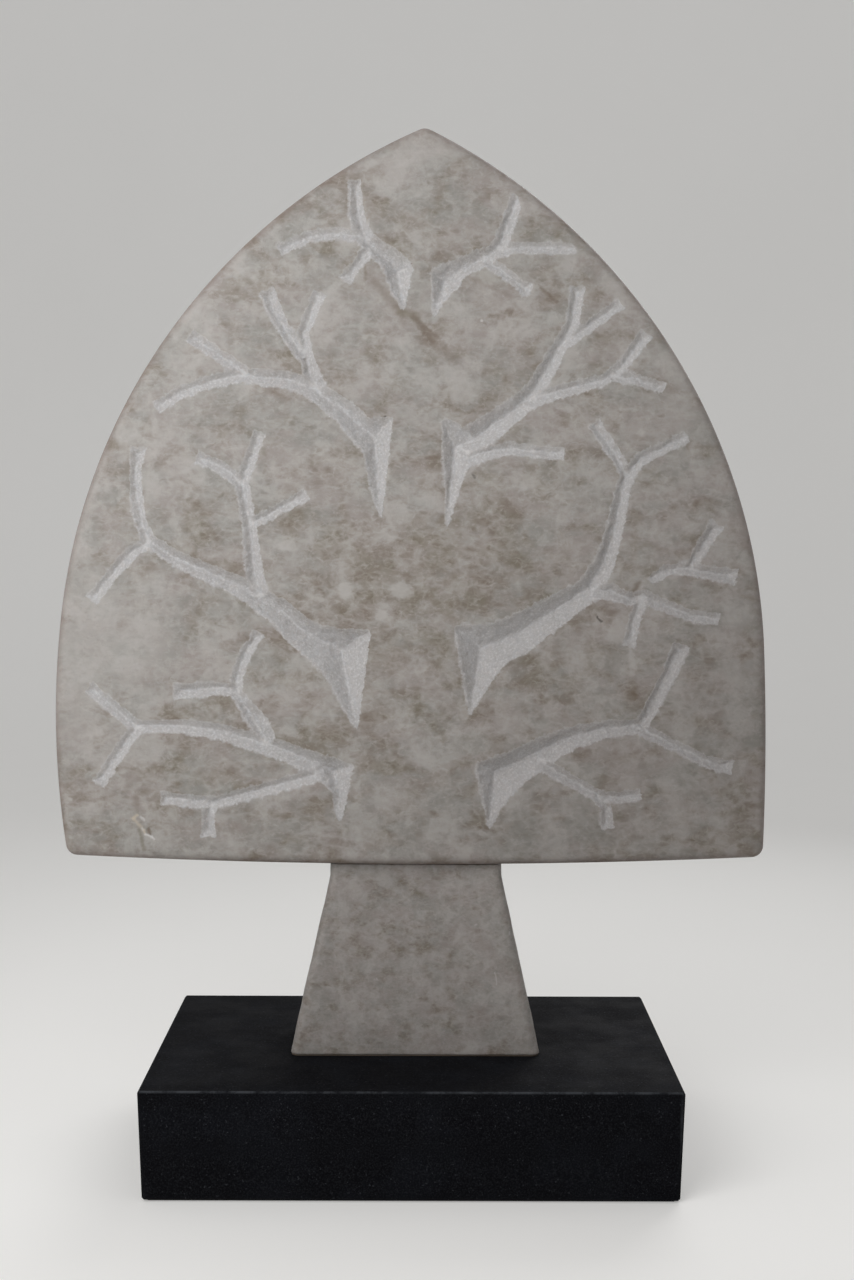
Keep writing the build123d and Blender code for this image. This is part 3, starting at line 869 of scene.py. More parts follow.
class Carving:
    """The depth of the cut branches, read from the facets of the CAD crown."""

    LEAST_DEPTH = 0.02  # millimetres behind the front plane
    LEAST_FACING = 0.02  # forward share of a facet's normal
    LEAST_AREA = 1e-9  # square millimetres, doubled
    RIM_GAP = 0.5  # millimetres kept clear of the front rim's round
    REACH = 1e-6  # millimetres to each side of a facet that still count as on it
    SLACK = 1e-5  # share of a facet's side that still counts as on it
    TWIG_WIDTHS = (4.8, 9.0)
    SQUARE = 0.97  # least sine of a twig end's corners
    DRAW = 0.8  # how far a corner goes sideways for each millimetre outwards

    def __init__(self, size: CrownSize) -> None:
        """Keeps the triangles that lie behind the front plane and face forwards.

        Args:
            size: The crown's sizes.
        """
        triangles = node_triangles("crown")
        front = -size.thickness / 2
        facing = unit(np.cross(triangles[:, 1] - triangles[:, 0], triangles[:, 2] - triangles[:, 0]))
        outline = CrownOutline(size)
        flat = triangles[:, :, [0, 2]] - np.array([0.0, size.base])
        deepest = triangles[:, :, 1].max(axis=1)
        carved = (deepest > front + self.LEAST_DEPTH) & (deepest < 0) & (facing[:, 1] < -self.LEAST_FACING)
        inside = outline.inside(flat.reshape(-1, 2)).reshape(-1, 3).min(axis=1)
        chosen = carved & (inside > size.front_round + self.RIM_GAP)
        self.flat = flat[chosen]
        self.depth = triangles[chosen][:, :, 1] - front
        self.facing = facing[chosen]

    def at(self, points: np.ndarray) -> np.ndarray:
        """Depth below the front plane: linear over each facet, the deepest where facets meet.

        Args:
            points: Array of shape (n, 2).

        Returns:
            Array of shape (n,), 0 off the branches.
        """
        order = np.argsort(points[:, 0])
        sorted_x = points[order, 0]
        depth = np.zeros(len(points))
        for corners, depths in zip(self.flat, self.depth):
            span = [corners[:, 0].min() - self.REACH, corners[:, 0].max() + self.REACH]
            near = order[slice(*np.searchsorted(sorted_x, span))]
            edge_a, edge_b = corners[1] - corners[0], corners[2] - corners[0]
            area = edge_a[0] * edge_b[1] - edge_a[1] * edge_b[0]
            if abs(area) < self.LEAST_AREA or not len(near):
                continue
            away = points[near] - corners[0]
            share_b = (away[:, 0] * edge_b[1] - away[:, 1] * edge_b[0]) / area
            share_c = (edge_a[0] * away[:, 1] - edge_a[1] * away[:, 0]) / area
            held = (share_b >= -self.SLACK) & (share_c >= -self.SLACK) & (share_b + share_c <= 1 + self.SLACK)
            value = depths[0] + share_b * (depths[1] - depths[0]) + share_c * (depths[2] - depths[0])
            depth[near[held]] = np.maximum(depth[near[held]], value[held])
        return depth

    def sides(self) -> Iterator[tuple[int, tuple, tuple]]:
        """Every facet's three edges: the facet's number and the edge's two ends, to a micrometre."""
        for number, corners in enumerate(np.round(self.flat, 3)):
            for a, b in ((0, 1), (1, 2), (2, 0)):
                yield number, tuple(corners[a]), tuple(corners[b])

    def flares(self) -> tuple[np.ndarray, np.ndarray]:
        """The corners of the blunt twig ends, and the way in which each is drawn out.

        An end is a rim edge of a twig's width between two corners of about a right angle; each corner
        goes out along the twig and away from the other.

        Returns:
            Corners and unit directions, each of shape (n, 2).
        """
        rim: dict[tuple, bool] = {}
        for _, here, there in self.sides():
            if not rim.pop((there, here), False):
                rim[here, there] = True
        after = {here: np.subtract(there, here) for here, there in rim}
        before = {there: np.subtract(there, here) for here, there in rim}
        places, ways = [], []
        for here, there in rim:
            edge = after[here]
            width = float(np.linalg.norm(edge))
            if not self.TWIG_WIDTHS[0] < width < self.TWIG_WIDTHS[1] or here not in before or there not in after:
                continue
            turns = [(u[0] * v[1] - u[1] * v[0]) / (np.linalg.norm(u) * np.linalg.norm(v))
                     for u, v in ((before[here], edge), (edge, after[there]))]
            if min(turns) < self.SQUARE:
                continue
            along = edge / width
            out = np.array([along[1], -along[0]])
            for corner, side in ((here, -along), (there, along)):
                places.append(corner)
                ways.append((self.DRAW * side + out) / math.hypot(self.DRAW, 1.0))
        return np.array(places), np.array(ways)

    def creases(self, step: float, least: float = 8.0) -> list[np.ndarray]:
        """The facets' sharp edges, each as points a step apart.

        An edge is sharp where its two facets' normals differ by more than the least angle, or where
        only one facet holds it, which is a rim.

        Args:
            step: Distance between points.
            least: The least angle, in degrees.

        Returns:
            One array of shape (n, 2) for each edge.
        """
        ends: dict[tuple, list[int]] = {}
        for number, *pair in self.sides():
            ends.setdefault(tuple(sorted(pair)), []).append(number)
        shortest, smooth = 0.05, math.cos(math.radians(least))
        found = []
        for (a, b), owners in ends.items():
            same = len(owners) > 1 and self.facing[owners[0]] @ self.facing[owners[1]] > smooth
            length = math.dist(a, b)
            if not same and length > shortest:
                shares = np.linspace(0.0, 1.0, max(math.ceil(length / step), 1) + 1)
                found.append(np.outer(1 - shares, a) + np.outer(shares, b))
        return found


@dataclass(frozen=True)
class Patch:
    """An elliptical patch in the stone of the front: place and half sizes in millimetres, lean in degrees."""

    x: float
    z: float
    wide: float
    high: float
    lean: float = 0.0
    strength: float = 1.0

    def at(self, points: np.ndarray) -> np.ndarray:
        """Its strength at places (x, z): strength exp(-(u^2 + v^2)), with u and v along its own axes.

        Args:
            points: Array of shape (n, 2).

        Returns:
            Array of shape (n,).
        """
        turn = math.radians(self.lean)
        away = points - np.array([self.x, self.z])
        along = (away[:, 0] * math.cos(turn) + away[:, 1] * math.sin(turn)) / self.wide
        across = (away[:, 1] * math.cos(turn) - away[:, 0] * math.sin(turn)) / self.high
        return self.strength * np.exp(-(along**2 + across**2))


TINTS = tuple(Patch(*row) for row in (
    (-27, 356, 26, 8), (-72, 324, 20, 8, -20), (-113, 368, 11, 12), (-107, 345, 12, 7),
    (-10, 345, 45, 22, 0, 0.6), (49, 377, 20, 12), (44, 360, 14, 8), (33, 338, 9, 6), (-53, 253, 14, 9),
    (-115, 265, 18, 8), (-124, 249, 14, 8, 0, 0.7), (-170, 212, 12, 8), (-41, 247, 9, 6),
    (127, 274, 6, 8, 0, 1.6), (100, 273, 16, 8, 0, 0.8), (62, 284, 22, 12, 0, 0.8), (172, 298, 9, 12, 0, 0.6),
    (181, 212, 7, 14, 0, 0.8), (-104, 498, 14, 10), (-48, 526, 15, 8), (-80, 468, 11, 5), (-13, 532, 10, 6),
    (-66, 552, 12, 6), (16, 528, 8, 7, 0, 1.2), (103, 502, 9, 7, 0, 1.1), (12, 477, 10, 5, -40),
    # the broad paler patches at (-190, 300) and (-150, 300) stand partly for the stone's own paler tone and
    # partly for painted light on the side nearer the lamp
    (-20, 561, 24, 10, 0, 0.6), (-120, 470, 36, 46, -38, -0.6), (-190, 300, 36, 80, 0, -1.0),
    (-150, 300, 30, 20, 0, -0.6), (-5, 318, 75, 50, 0, 0.8), (-60, 280, 40, 60, 0, 0.4),
    (50, 368, 10, 22, 0, 0.6), (96, 410, 22, 5, 0, 0.9), (133, 453, 6, 4, 0, 0.9), (66, 489, 14, 8, 0, 0.6),
    (150, 335, 10, 8, 0, 0.6), (-8, 137, 24, 4, -5), (-33, 124, 15, 3), (4, 124, 20, 3, 4), (-26, 105, 13, 4),
    (-13, 156, 24, 4, 0, 0.7), (51, 145, 8, 3, 0, 0.8), (14, 82, 30, 4, 6, 0.9), (190, 300, 14, 40, 0, -0.8),
    (150, 440, 24, 60, 35, -0.7), (8, 580, 30, 14, 0, -0.9), (-10, 505, 30, 16, 0, -0.4),
    (127, 360, 3, 16, 0, 1.4), (125, 331, 5, 4, 0, 1.5),
))
VEILS = tuple(Patch(*row) for row in (
    (-71, 360, 9, 4), (-38, 334, 6, 6), (-6, 334, 8, 6), (-17, 320, 4, 5), (-150, 395, 12, 6, 0, 0.5),
    (120, 312, 9, 14, -35, 0.8), (127, 292, 3, 14, 0, 0.7), (186, 320, 8, 20, 0, 0.5),
    (168, 284, 16, 5, 0, 0.4), (-152, 181, 5, 2.5, -20, 0.8), (132, 425, 6, 3, 0, 0.7),
    (-2, 480, 26, 14, 0, 0.4), (120, 436, 5, 18, 0, 0.5), (82, 386, 14, 22, 30, 0.5), (62, 397, 12, 9, 0, 0.55),
    (100, 348, 20, 5, 0, 0.5), (165, 400, 12, 28, 25, 0.5), (178, 350, 8, 30, 0, 0.5),
))


@dataclass
class Crown:
    """The carved slab: a mesh that is fine in the branches, with a soft rim, sides and back.

    Lengths and depths are in millimetres and angles in degrees; a swell's rows are a height and a ripple.
    """

    size: CrownSize = CrownSize()
    ring_step: float = 1.5
    fine_step: float = 1.0
    back_step: float = 7.0
    pillow: float = 1.5
    pillow_width: float = 34.0
    flare: float = 1.5
    flare_reach: float = 2.2
    sunk: float = 0.2
    uneven: Swell = ((0.10, Ripple(26.0, 5)), (0.06, Ripple(9.0, 6)))
    chisel: Swell = ((0.16, Ripple(4.2, 7)), (0.10, Ripple(2.4, 8)))
    wander: tuple[Swell, Swell] = (((0.3, Ripple(9.0, 11)), (0.16, Ripple(3.6, 12))),
                                   ((0.3, Ripple(9.0, 13)), (0.16, Ripple(3.6, 14))))
    back_sunk: float = 0.25
    back_uneven: Swell = ((0.12, Ripple(40.0, 21)),)
    halo: int = 6
    arris_angle: float = 24.0
    arris_depths: tuple[float, float] = (0.4, 2.5)
    cut_depths: tuple[float, float] = (0.02, 0.35)
    chisel_depths: tuple[float, float] = (0.0, 2.5)
    # direction of flanks that face away from the lamp, and how far their whitening is lowered: painted shade
    shaded_flank: tuple[float, float, float] = (0.45, 0.0, -0.89)
    shaded_flank_clear: float = 0.45
    shaded_flank_depth: float = 4.5
    fade: float = 25.0
    # where the painted warm cast of light lies along the front rim
    rim_light_width: float = 2.5
    rim_light_fade: tuple[float, float] = (12.0, 26.0)
    # where the painted shade falls: rising to the right and downwards across the front
    painted_shade_span: tuple[float, float] = (-50.0, 260.0)
    painted_shade_lean: float = 0.9
    painted_shade_level: float = 330.0

    def pillow_at(self, inside: np.ndarray) -> np.ndarray:
        """How far the front falls away this far inside: pillow (1 - ease) over the pillow's width."""
        return self.pillow * (1.0 - smooth_step(0.0, self.pillow_width, inside))

    def profile(self) -> np.ndarray:
        """The rim's rings, from front to back, as rows of inset and y.

        Front rim: inset r - r sin a, y -r cos a from the quarter's centre; a straight side; a
        quarter of the back radius. The pillow fades out round the front rim.
        """
        half, front, back = self.size.thickness / 2, self.size.front_round, self.size.back_round
        front_count, side_count, back_count = 8, 14, 5
        quarter = np.linspace(0.0, math.pi / 2, front_count)
        inset = front - front * np.sin(quarter)
        lean = self.pillow_at(inset) * np.cos(quarter)
        front_rows = np.stack([inset, -half + front - front * np.cos(quarter) + lean], axis=1)
        side = np.linspace(-half + front, half - back, side_count)[1:-1]
        side_rows = np.stack([np.zeros_like(side), side], axis=1)
        quarter = np.linspace(0.0, math.pi / 2, back_count)
        back_rows = np.stack([back - back * np.cos(quarter), half - back + back * np.sin(quarter)], axis=1)
        return np.concatenate([front_rows, side_rows, back_rows])

    def rings(self, outline: CrownOutline) -> tuple[np.ndarray, int, int]:
        """Rim, sides and back rim: each outline point moved inwards by the profile's inset.

        Args:
            outline: The crown's outline.

        Returns:
            Points of shape (rows * columns, 3), the number of rows and the number of columns.
        """
        points, normals = outline.trace(self.ring_step)
        profile = self.profile()
        flat = points[None] - normals[None] * profile[:, :1, None]
        depth = np.broadcast_to(profile[:, 1:2], flat.shape[:2])
        rings = np.stack([flat[..., 0], depth, flat[..., 1]], axis=-1)
        return rings.reshape(-1, 3), len(profile), len(points)

    def front_points(self, outline: CrownOutline, carving: Carving) -> np.ndarray:
        """Places for the front's vertices: a staggered grid, full in the cuts and thinned away from them.

        It leaves the cells along sharp edges free, because those get points of their own.

        Args:
            outline: The crown's outline.
            carving: The branches.

        Returns:
            Array of shape (n, 2).
        """
        step = self.fine_step
        half = self.size.width / 2
        columns, rows = int(2 * half / step) + 1, int(self.size.height / step) + 1
        column, row = np.meshgrid(np.arange(columns), np.arange(rows), indexing="ij")
        grid = np.stack([-half + (column + 0.5 * (row % 2)) * step, row * step], axis=-1)
        depth = carving.at(grid.reshape(-1, 2)).reshape(columns, rows)
        cut = depth > 0.0
        every_second = (column % 2 == 0) & (row % 2 == 0)
        every_fourth = (column % 4 == 0) & (row % 4 == 0) | (column % 4 == 2) & (row % 4 == 2)
        pitted = self.pits(grid.reshape(-1, 2)).reshape(columns, rows) > Carving.LEAST_DEPTH
        kept = self.grown(cut, 1) | pitted | self.grown(cut, self.halo) & every_second | every_fourth
        taken = np.zeros((columns * 2 + 2, rows * 2 + 2), bool)
        along = np.concatenate(carving.creases(0.25 * step))
        cell = np.floor((along + [half, 0.0]) / (step / 2)).astype(int)
        taken[cell[:, 0], cell[:, 1]] = True
        own = np.floor((grid + [half, 0.0]) / (step / 2)).astype(int)
        clear = ~self.grown(taken, 1)[own[..., 0].clip(0, columns * 2 + 1), own[..., 1].clip(0, rows * 2 + 1)]
        inner = outline.inside(grid.reshape(-1, 2)).reshape(columns, rows) > self.size.front_round + 1.0
        return grid[kept & clear & inner]

    def pits(self, points: np.ndarray) -> np.ndarray:
        """Sum of the depths of all flaws at points (x, z), with z above the crown's base."""
        return sum(flaw.depth(points + [0.0, self.size.base]) for flaw in FLAWS)

    @staticmethod
    def grown(mask: np.ndarray, cells: int) -> np.ndarray:
        """A mask widened by a number of cells each way.

        Args:
            mask: Two-dimensional array of booleans.
            cells: Cells to add on every side.

        Returns:
            The wider mask.
        """
        wide = mask.copy()
        for _ in range(cells):
            grown = wide.copy()
            grown[1:] |= wide[:-1]
            grown[:-1] |= wide[1:]
            grown[:, 1:] |= wide[:, :-1]
            grown[:, :-1] |= wide[:, 1:]
            wide = grown
        return wide

    @staticmethod
    def meshed(border: np.ndarray, lines: list[np.ndarray], free: np.ndarray) -> tuple[np.ndarray, np.ndarray]:
        """Delaunay triangles inside a closed border, with edges along open lines.

        Args:
            border: The closed ring, of shape (n, 3).
            lines: The open lines, each of shape (m, 2).
            free: Points between them, of shape (k, 2).

        Returns:
            Places (x, z) that start with the border's own, and triangles.
        """
        inside_only, merged = 1, 1e-4
        count = len(border)
        edges = [(k, (k + 1) % count) for k in range(count)]
        for line in lines:
            edges += [(count + k, count + k + 1) for k in range(len(line) - 1)]
            count += len(line)
        given = [Vector(place) for place in np.concatenate([border[:, [0, 2]], *lines, free]).tolist()]
        verts, _, faces, origins, _, _ = delaunay_2d_cdt(given, edges, [], inside_only, merged)
        order = np.argsort([min(origin) if origin else len(given) for origin in origins], kind="stable")
        return np.array([tuple(v) for v in verts])[order], np.argsort(order)[np.array([tuple(f) for f in faces])]

    def front(self, outline: CrownOutline, border: np.ndarray) -> tuple[np.ndarray, np.ndarray, dict]:
        """The carved front within its border.

        y is the front plane, plus the carved depth with its edges eased, the pillow and an unevenness;
        x and z wander a little, so that no edge runs dead straight.

        Args:
            outline: The crown's outline.
            border: The innermost ring of the rim, of shape (n, 3).

        Returns:
            Points of shape (m, 3) that start with the border's own, triangles, and each point's shares of
            cut, of crease and of tool bruise, the last with painted shade on flanks facing away from the lamp,
            by attribute name.
        """
        carving = Carving(self.size)
        lines = carving.creases(1.1 * self.fine_step)
        flat, triangles = self.meshed(border, lines, self.front_points(outline, carving))
        count = len(border)
        inside, depth = outline.inside(flat), carving.at(flat)
        arris = self.crossed(flat, carving.creases(0.4 * self.fine_step, self.arris_angle))
        arris = self.settled(arris * smooth_step(*self.arris_depths, depth), triangles, count, 1)
        cut = self.settled(smooth_step(*self.cut_depths, depth), triangles, count, 2)
        depth = self.settled(depth, triangles, count, 2) + self.pits(flat)
        fade = smooth_step(self.size.front_round, 3 * self.size.front_round, inside)
        y = -self.size.thickness / 2 + depth + self.pillow_at(inside)
        y = y + fade * (self.sunk + swell_at(self.uneven, flat))
        y = y + cut * swell_at(self.chisel, flat) * smooth_step(*self.chisel_depths, depth)
        moved = flat + np.stack([swell_at(swell, flat) for swell in self.wander], axis=1) * fade[:, None]
        for corner, way in zip(*carving.flares()):
            near = np.exp(-(((flat - corner) / self.flare_reach) ** 2).sum(axis=1))
            moved += self.flare * near[:, None] * way
        points = np.stack([moved[:, 0], y, moved[:, 1]], axis=1)
        points[:count] = border
        return points, triangles, {"cut": cut, "arris": arris, "cut_cover_painted_shade": self.cut_cover_painted_shade(points, triangles, depth)}

    def cut_cover_painted_shade(self, points: np.ndarray, triangles: np.ndarray, depth: np.ndarray) -> np.ndarray:
        """How strongly the tool bruised each point, with painted shade on flanks that face away from the lamp.

        Flanks which face down and right, away from the lamp, get 1 - shaded_flank_clear (1 - depth /
        shaded_flank_depth), which leaves them clearer and so darker towards their rim, a painted shade; the
        others get 1.

        Args:
            points: Array of shape (n, 3).
            triangles: Vertex numbers, of shape (m, 3).
            depth: Depth of each point.

        Returns:
            Array of shape (n,), 0 to 1.
        """
        a, b, c = (points[triangles[:, k]] for k in range(3))
        facet = np.cross(b - a, c - a)
        facet *= -np.sign(facet[:, 1:2])
        facing = np.zeros_like(points)
        for k in range(3):
            np.add.at(facing, triangles[:, k], facet)
        # flanks facing away from the lamp, down and right, get painted shade
        shaded_flank = smooth_step(0.0, 0.2, unit(facing) @ self.shaded_flank)
        return 1.0 - self.shaded_flank_clear * shaded_flank * (1.0 - np.clip(depth / self.shaded_flank_depth, 0.0, 1.0))

    @staticmethod
    def crossed(points: np.ndarray, lines: list[np.ndarray]) -> np.ndarray:
        """1 where a point shares its cell, a square numbered by its column and row, with a line's, else 0.

        Args:
            points: Array of shape (n, 2).
            lines: Arrays of shape (m, 2).

        Returns:
            Array of shape (n,).
        """
        cell, rows = 0.6, 100003
        own, theirs = (np.round(places / cell).astype(np.int64) @ [rows, 1] for places in
                       (points, np.concatenate(lines)))
        return np.isin(own, theirs).astype(float)

    @staticmethod
    def settled(values: np.ndarray, triangles: np.ndarray, fixed: int, rounds: int) -> np.ndarray:
        """Values eased over the mesh: each becomes half itself and half its neighbours' mean.

        Args:
            values: One value for each point.
            triangles: The mesh's triangles.
            fixed: Number of points at the start that keep their value.
            rounds: How often it is done.

        Returns:
            The eased values.
        """
        a = triangles[:, [0, 1, 2]].ravel()
        b = triangles[:, [1, 2, 0]].ravel()
        here, there = np.concatenate([a, b]), np.concatenate([b, a])
        degree = np.bincount(here, minlength=len(values))
        for _ in range(rounds):
            mean = np.bincount(here, weights=values[there], minlength=len(values)) / np.maximum(degree, 1)
            eased = 0.5 * values + 0.5 * mean
            eased[:fixed] = values[:fixed]
            values = eased
        return values

    def back(self, outline: CrownOutline, border: np.ndarray) -> tuple[np.ndarray, np.ndarray]:
        """The plain back within its border, nearly flat.

        Args:
            outline: The crown's outline.
            border: The innermost ring of the back rim, of shape (n, 3).

        Returns:
            Points of shape (m, 3) that start with the border's own, and triangles.
        """
        step, half = self.back_step, self.size.width / 2
        x, z = np.meshgrid(np.arange(-half, half, step), np.arange(0.0, self.size.height, step), indexing="ij")
        grid = np.stack([x.ravel(), z.ravel()], axis=1)
        grid = grid[outline.inside(grid) > self.size.back_round + 0.6 * step]
        flat, triangles = self.meshed(border, [], grid)
        fade = smooth_step(0.0, 20.0, outline.inside(flat) - self.size.back_round)
        y = self.size.thickness / 2 - fade * (self.back_sunk + swell_at(self.back_uneven, flat))
        return np.stack([flat[:, 0], y, flat[:, 1]], axis=1), triangles[:, ::-1]

    @staticmethod
    def towards(triangles: np.ndarray, points: np.ndarray, sign: float) -> np.ndarray:
        """Triangles wound so that their normals' y has this sign.

        Args:
            triangles: Vertex indices.
            points: Their places.
            sign: -1 to face the front, 1 to face the back.

        Returns:
            The triangles, turned where they need it.
        """
        a, b, c = (points[triangles[:, k]] for k in range(3))
        faces_y = (b - a)[:, 2] * (c - a)[:, 0] - (b - a)[:, 0] * (c - a)[:, 2]
        wrong = faces_y * sign < 0
        triangles = triangles.copy()
        triangles[wrong] = triangles[wrong][:, ::-1]
        return triangles

    def build(self) -> bpy.types.Object:
        """The crown as one closed mesh: rim rings, carved front and plain back, with all its attributes.

        The stone's patches fade in towards the front, edge, a painted warm cast of light, falls off as
        exp(-(d / width)^2) from the outline, and dusk, a painted shade, rises to the right and downwards.
        """
        outline = CrownOutline(self.size)
        rings, rows, columns = self.rings(outline)
        front, front_faces, carved = self.front(outline, rings[:columns])
        back, back_faces = self.back(outline, rings[-columns:])
        points = np.concatenate([rings, front[columns:], back[columns:]])
        numbers = np.arange(len(points))
        back_start = len(rings) + len(front) - columns
        front_map = np.concatenate([numbers[:columns], numbers[len(rings):back_start]])
        back_map = np.concatenate([numbers[len(rings) - columns:len(rings)], numbers[back_start:]])
        inside = outline.inside(points[:, [0, 2]])
        points[:, 2] += self.size.base
        faces = [*ring_faces(rows, columns), *front_map[self.towards(front_faces, front, -1.0)],
                 *back_map[self.towards(back_faces, back, 1.0)]]
        piece = make_piece("carved_crown", points, faces)
        forward = smooth_step(0.0, self.fade, -points[:, 1])
        places = points[:, [0, 2]]
        # painted shade rises to the right and downwards across the crown
        shadeward = places[:, 0] - self.painted_shade_lean * (places[:, 1] - self.painted_shade_level)
        shares = {name: np.zeros(len(points)) for name in carved}
        for name, values in carved.items():
            shares[name][front_map] = values
        add_shares(piece, shares | {
            "tint": forward * sum(patch.at(places) for patch in TINTS),
            "veil": forward * np.clip(sum(patch.at(places) for patch in VEILS), 0.0, 1.0),
            # painted warm cast of light along the front rim
            "edge": np.exp(-(inside / self.rim_light_width) ** 2) * smooth_step(*self.rim_light_fade, -points[:, 1]),
            "face": forward,
            "painted_shade": smooth_step(*self.painted_shade_span, shadeward)})
        return piece


# ---------------------------------------------------------------- trunk


@dataclass
class Trunk:
    """The tapered block with an upright neck: a rounded rectangle carried up a width profile."""

    base: float = 63.0
    height: float = 110.5
    neck: float = 7.5
    offset: float = 2.9
    foot: tuple[float, float] = (146.2, 68.0)
    top: tuple[float, float] = (100.8, 46.0)
    corner: float = 5.0
    foot_round: float = 1.2
    top_round: float = 0.5
    sunk: float = 0.22
    uneven: Swell = ((0.16, Ripple(30.0, 31)), (0.08, Ripple(9.0, 32)))
    fine: float = 0.7
    paler: float = 0.4

    def section(self, half_width: np.ndarray, half_depth: np.ndarray, corner: np.ndarray) -> np.ndarray:
        """Rounded rectangles: four quarter circles about (+-(a - r), +-(b - r)), joined by straights.

        Args:
            half_width: a for each row.
            half_depth: b for each row.
            corner: r for each row.

        Returns:
            Array of shape (rows, columns, 2), anticlockwise seen from above.
        """
        per_corner, per_side = 14, 26
        parts = []
        for k, (sx, sy) in enumerate(((1, -1), (1, 1), (-1, 1), (-1, -1))):
            angles = -math.pi / 2 + (k + np.linspace(0.0, 1.0, per_corner)) * math.pi / 2
            centre = np.stack([sx * (half_width - corner), sy * (half_depth - corner)], axis=-1)
            turn = np.stack([np.cos(angles), np.sin(angles)], axis=-1)
            parts.append(centre[:, None] + corner[:, None, None] * turn[None])
        ring = []
        for part, following in zip(parts, parts[1:] + parts[:1]):
            shares = np.linspace(0.0, 1.0, per_side + 2)[1:-1, None]
            ring += [part, part[:, -1:, :] * (1 - shares) + following[:, :1, :] * shares]
        return np.concatenate(ring, axis=1)

    def build(self) -> bpy.types.Object:
        """The trunk as one closed mesh.

        Rows climb from the foot to the top; both ends turn in by a quarter circle, and a slow
        unevenness moves each point along its outward direction.
        """
        quarter_count, side_count = 6, 84
        quarter = np.linspace(0.0, math.pi / 2, quarter_count)
        rise_low = self.foot_round - self.foot_round * np.cos(quarter)
        inset_low = self.foot_round - self.foot_round * np.sin(quarter)
        middle = np.linspace(self.foot_round, self.height - self.top_round, side_count)[1:-1]
        rise_high = self.height - self.top_round + self.top_round * np.sin(quarter)
        inset_high = self.top_round - self.top_round * np.cos(quarter)
        rise = np.concatenate([rise_low, middle, rise_high])
        inset = np.concatenate([inset_low, np.zeros_like(middle), inset_high])
        share = np.clip(rise / (self.height - self.neck), 0.0, 1.0)
        half_width, half_depth = (
            (foot + (top - foot) * share) / 2 - inset for foot, top in zip(self.foot, self.top))
        ring = self.section(half_width, half_depth, self.corner - inset)
        rows, columns = ring.shape[:2]
        height = np.broadcast_to(rise[:, None], ring.shape[:2])
        points = np.stack([ring[..., 0] + self.offset, ring[..., 1], self.base + height], axis=-1).reshape(-1, 3)
        outward = (ring / np.linalg.norm(ring, axis=2, keepdims=True)).reshape(-1, 2)
        points[:, :2] += outward * (swell_at(self.uneven, points) - self.sunk)[:, None]
        column = np.arange(columns)
        after, last = (column + 1) % columns, (rows - 1) * columns
        bottom = np.stack([after, column, np.full(columns, len(points))], axis=1)
        top = np.stack([last + column, last + after, np.full(columns, len(points) + 1)], axis=1)
        ends = [[self.offset, 0.0, self.base + height] for height in (0.0, self.height)]
        points = np.concatenate([points, ends])
        piece = make_piece("trunk_block", points, [*ring_faces(rows, columns), *bottom, *top])
        add_shares(piece, {
            "face": smooth_step(0.0, 20.0, -points[:, 1]),
            # painted shade over the whole trunk, which stands under the crown
            "painted_shade": np.ones(len(points)),
            "fine": np.full(len(points), self.fine),
            "tint": sum(patch.at(points[:, [0, 2]]) for patch in TINTS) - self.paler})
        return piece


# ---------------------------------------------------------------- set


@dataclass(frozen=True)
class Camera:
    """Where the tree is looked at from: angles in degrees, place in metres."""

    place: tuple[float, float, float] = (0.0058, -1.0528, 0.3717)
    down: float = 3.702
    right: float = 0.177
    roll: float = 0.222
    lens: float = 50.0

    def build(self) -> None:
        """Makes the scene's camera: axes right, up and back, turned about the view line."""
        down, right, roll = (math.radians(angle) for angle in (self.down, self.right, self.roll))
        forward = Vector((math.sin(right) * math.cos(down), math.cos(right) * math.cos(down), -math.sin(down)))
        side = Vector((math.cos(right), -math.sin(right), 0.0))
        up = side.cross(forward)
        across = side * math.cos(roll) + up * math.sin(roll)
        over = up * math.cos(roll) - side * math.sin(roll)
        axes = Matrix((across, over, -forward)).transposed().to_4x4()
        data = bpy.data.cameras.new("camera")
        data.lens, data.sensor_width, data.sensor_fit = self.lens, 36.0, "AUTO"
        data.clip_start, data.clip_end = 0.01, 50.0
        camera = bpy.data.objects.new("camera", data)
        camera.matrix_world = Matrix.Translation(self.place) @ axes
        bpy.context.scene.collection.objects.link(camera)
        bpy.context.scene.camera = camera


@dataclass(frozen=True)
class Lamp:
    """One soft square lamp, aimed at the crown."""

    name: str
    place: tuple[float, float, float]
    size: float
    power: float
    spread: float = 180.0
    aim: tuple[float, float, float] = (0.0, 0.0, 0.36)

    def build(self) -> None:
        """Makes the lamp."""
        data = bpy.data.lights.new(self.name, "AREA")
        data.shape, data.size, data.energy = "SQUARE", self.size, self.power
        data.spread = math.radians(self.spread)
        lamp = bpy.data.objects.new(self.name, data)
        way = Vector(self.aim) - Vector(self.place)
        lamp.matrix_world = Matrix.Translation(self.place) @ way.to_track_quat("-Z", "Y").to_matrix().to_4x4()
        bpy.context.scene.collection.objects.link(lamp)


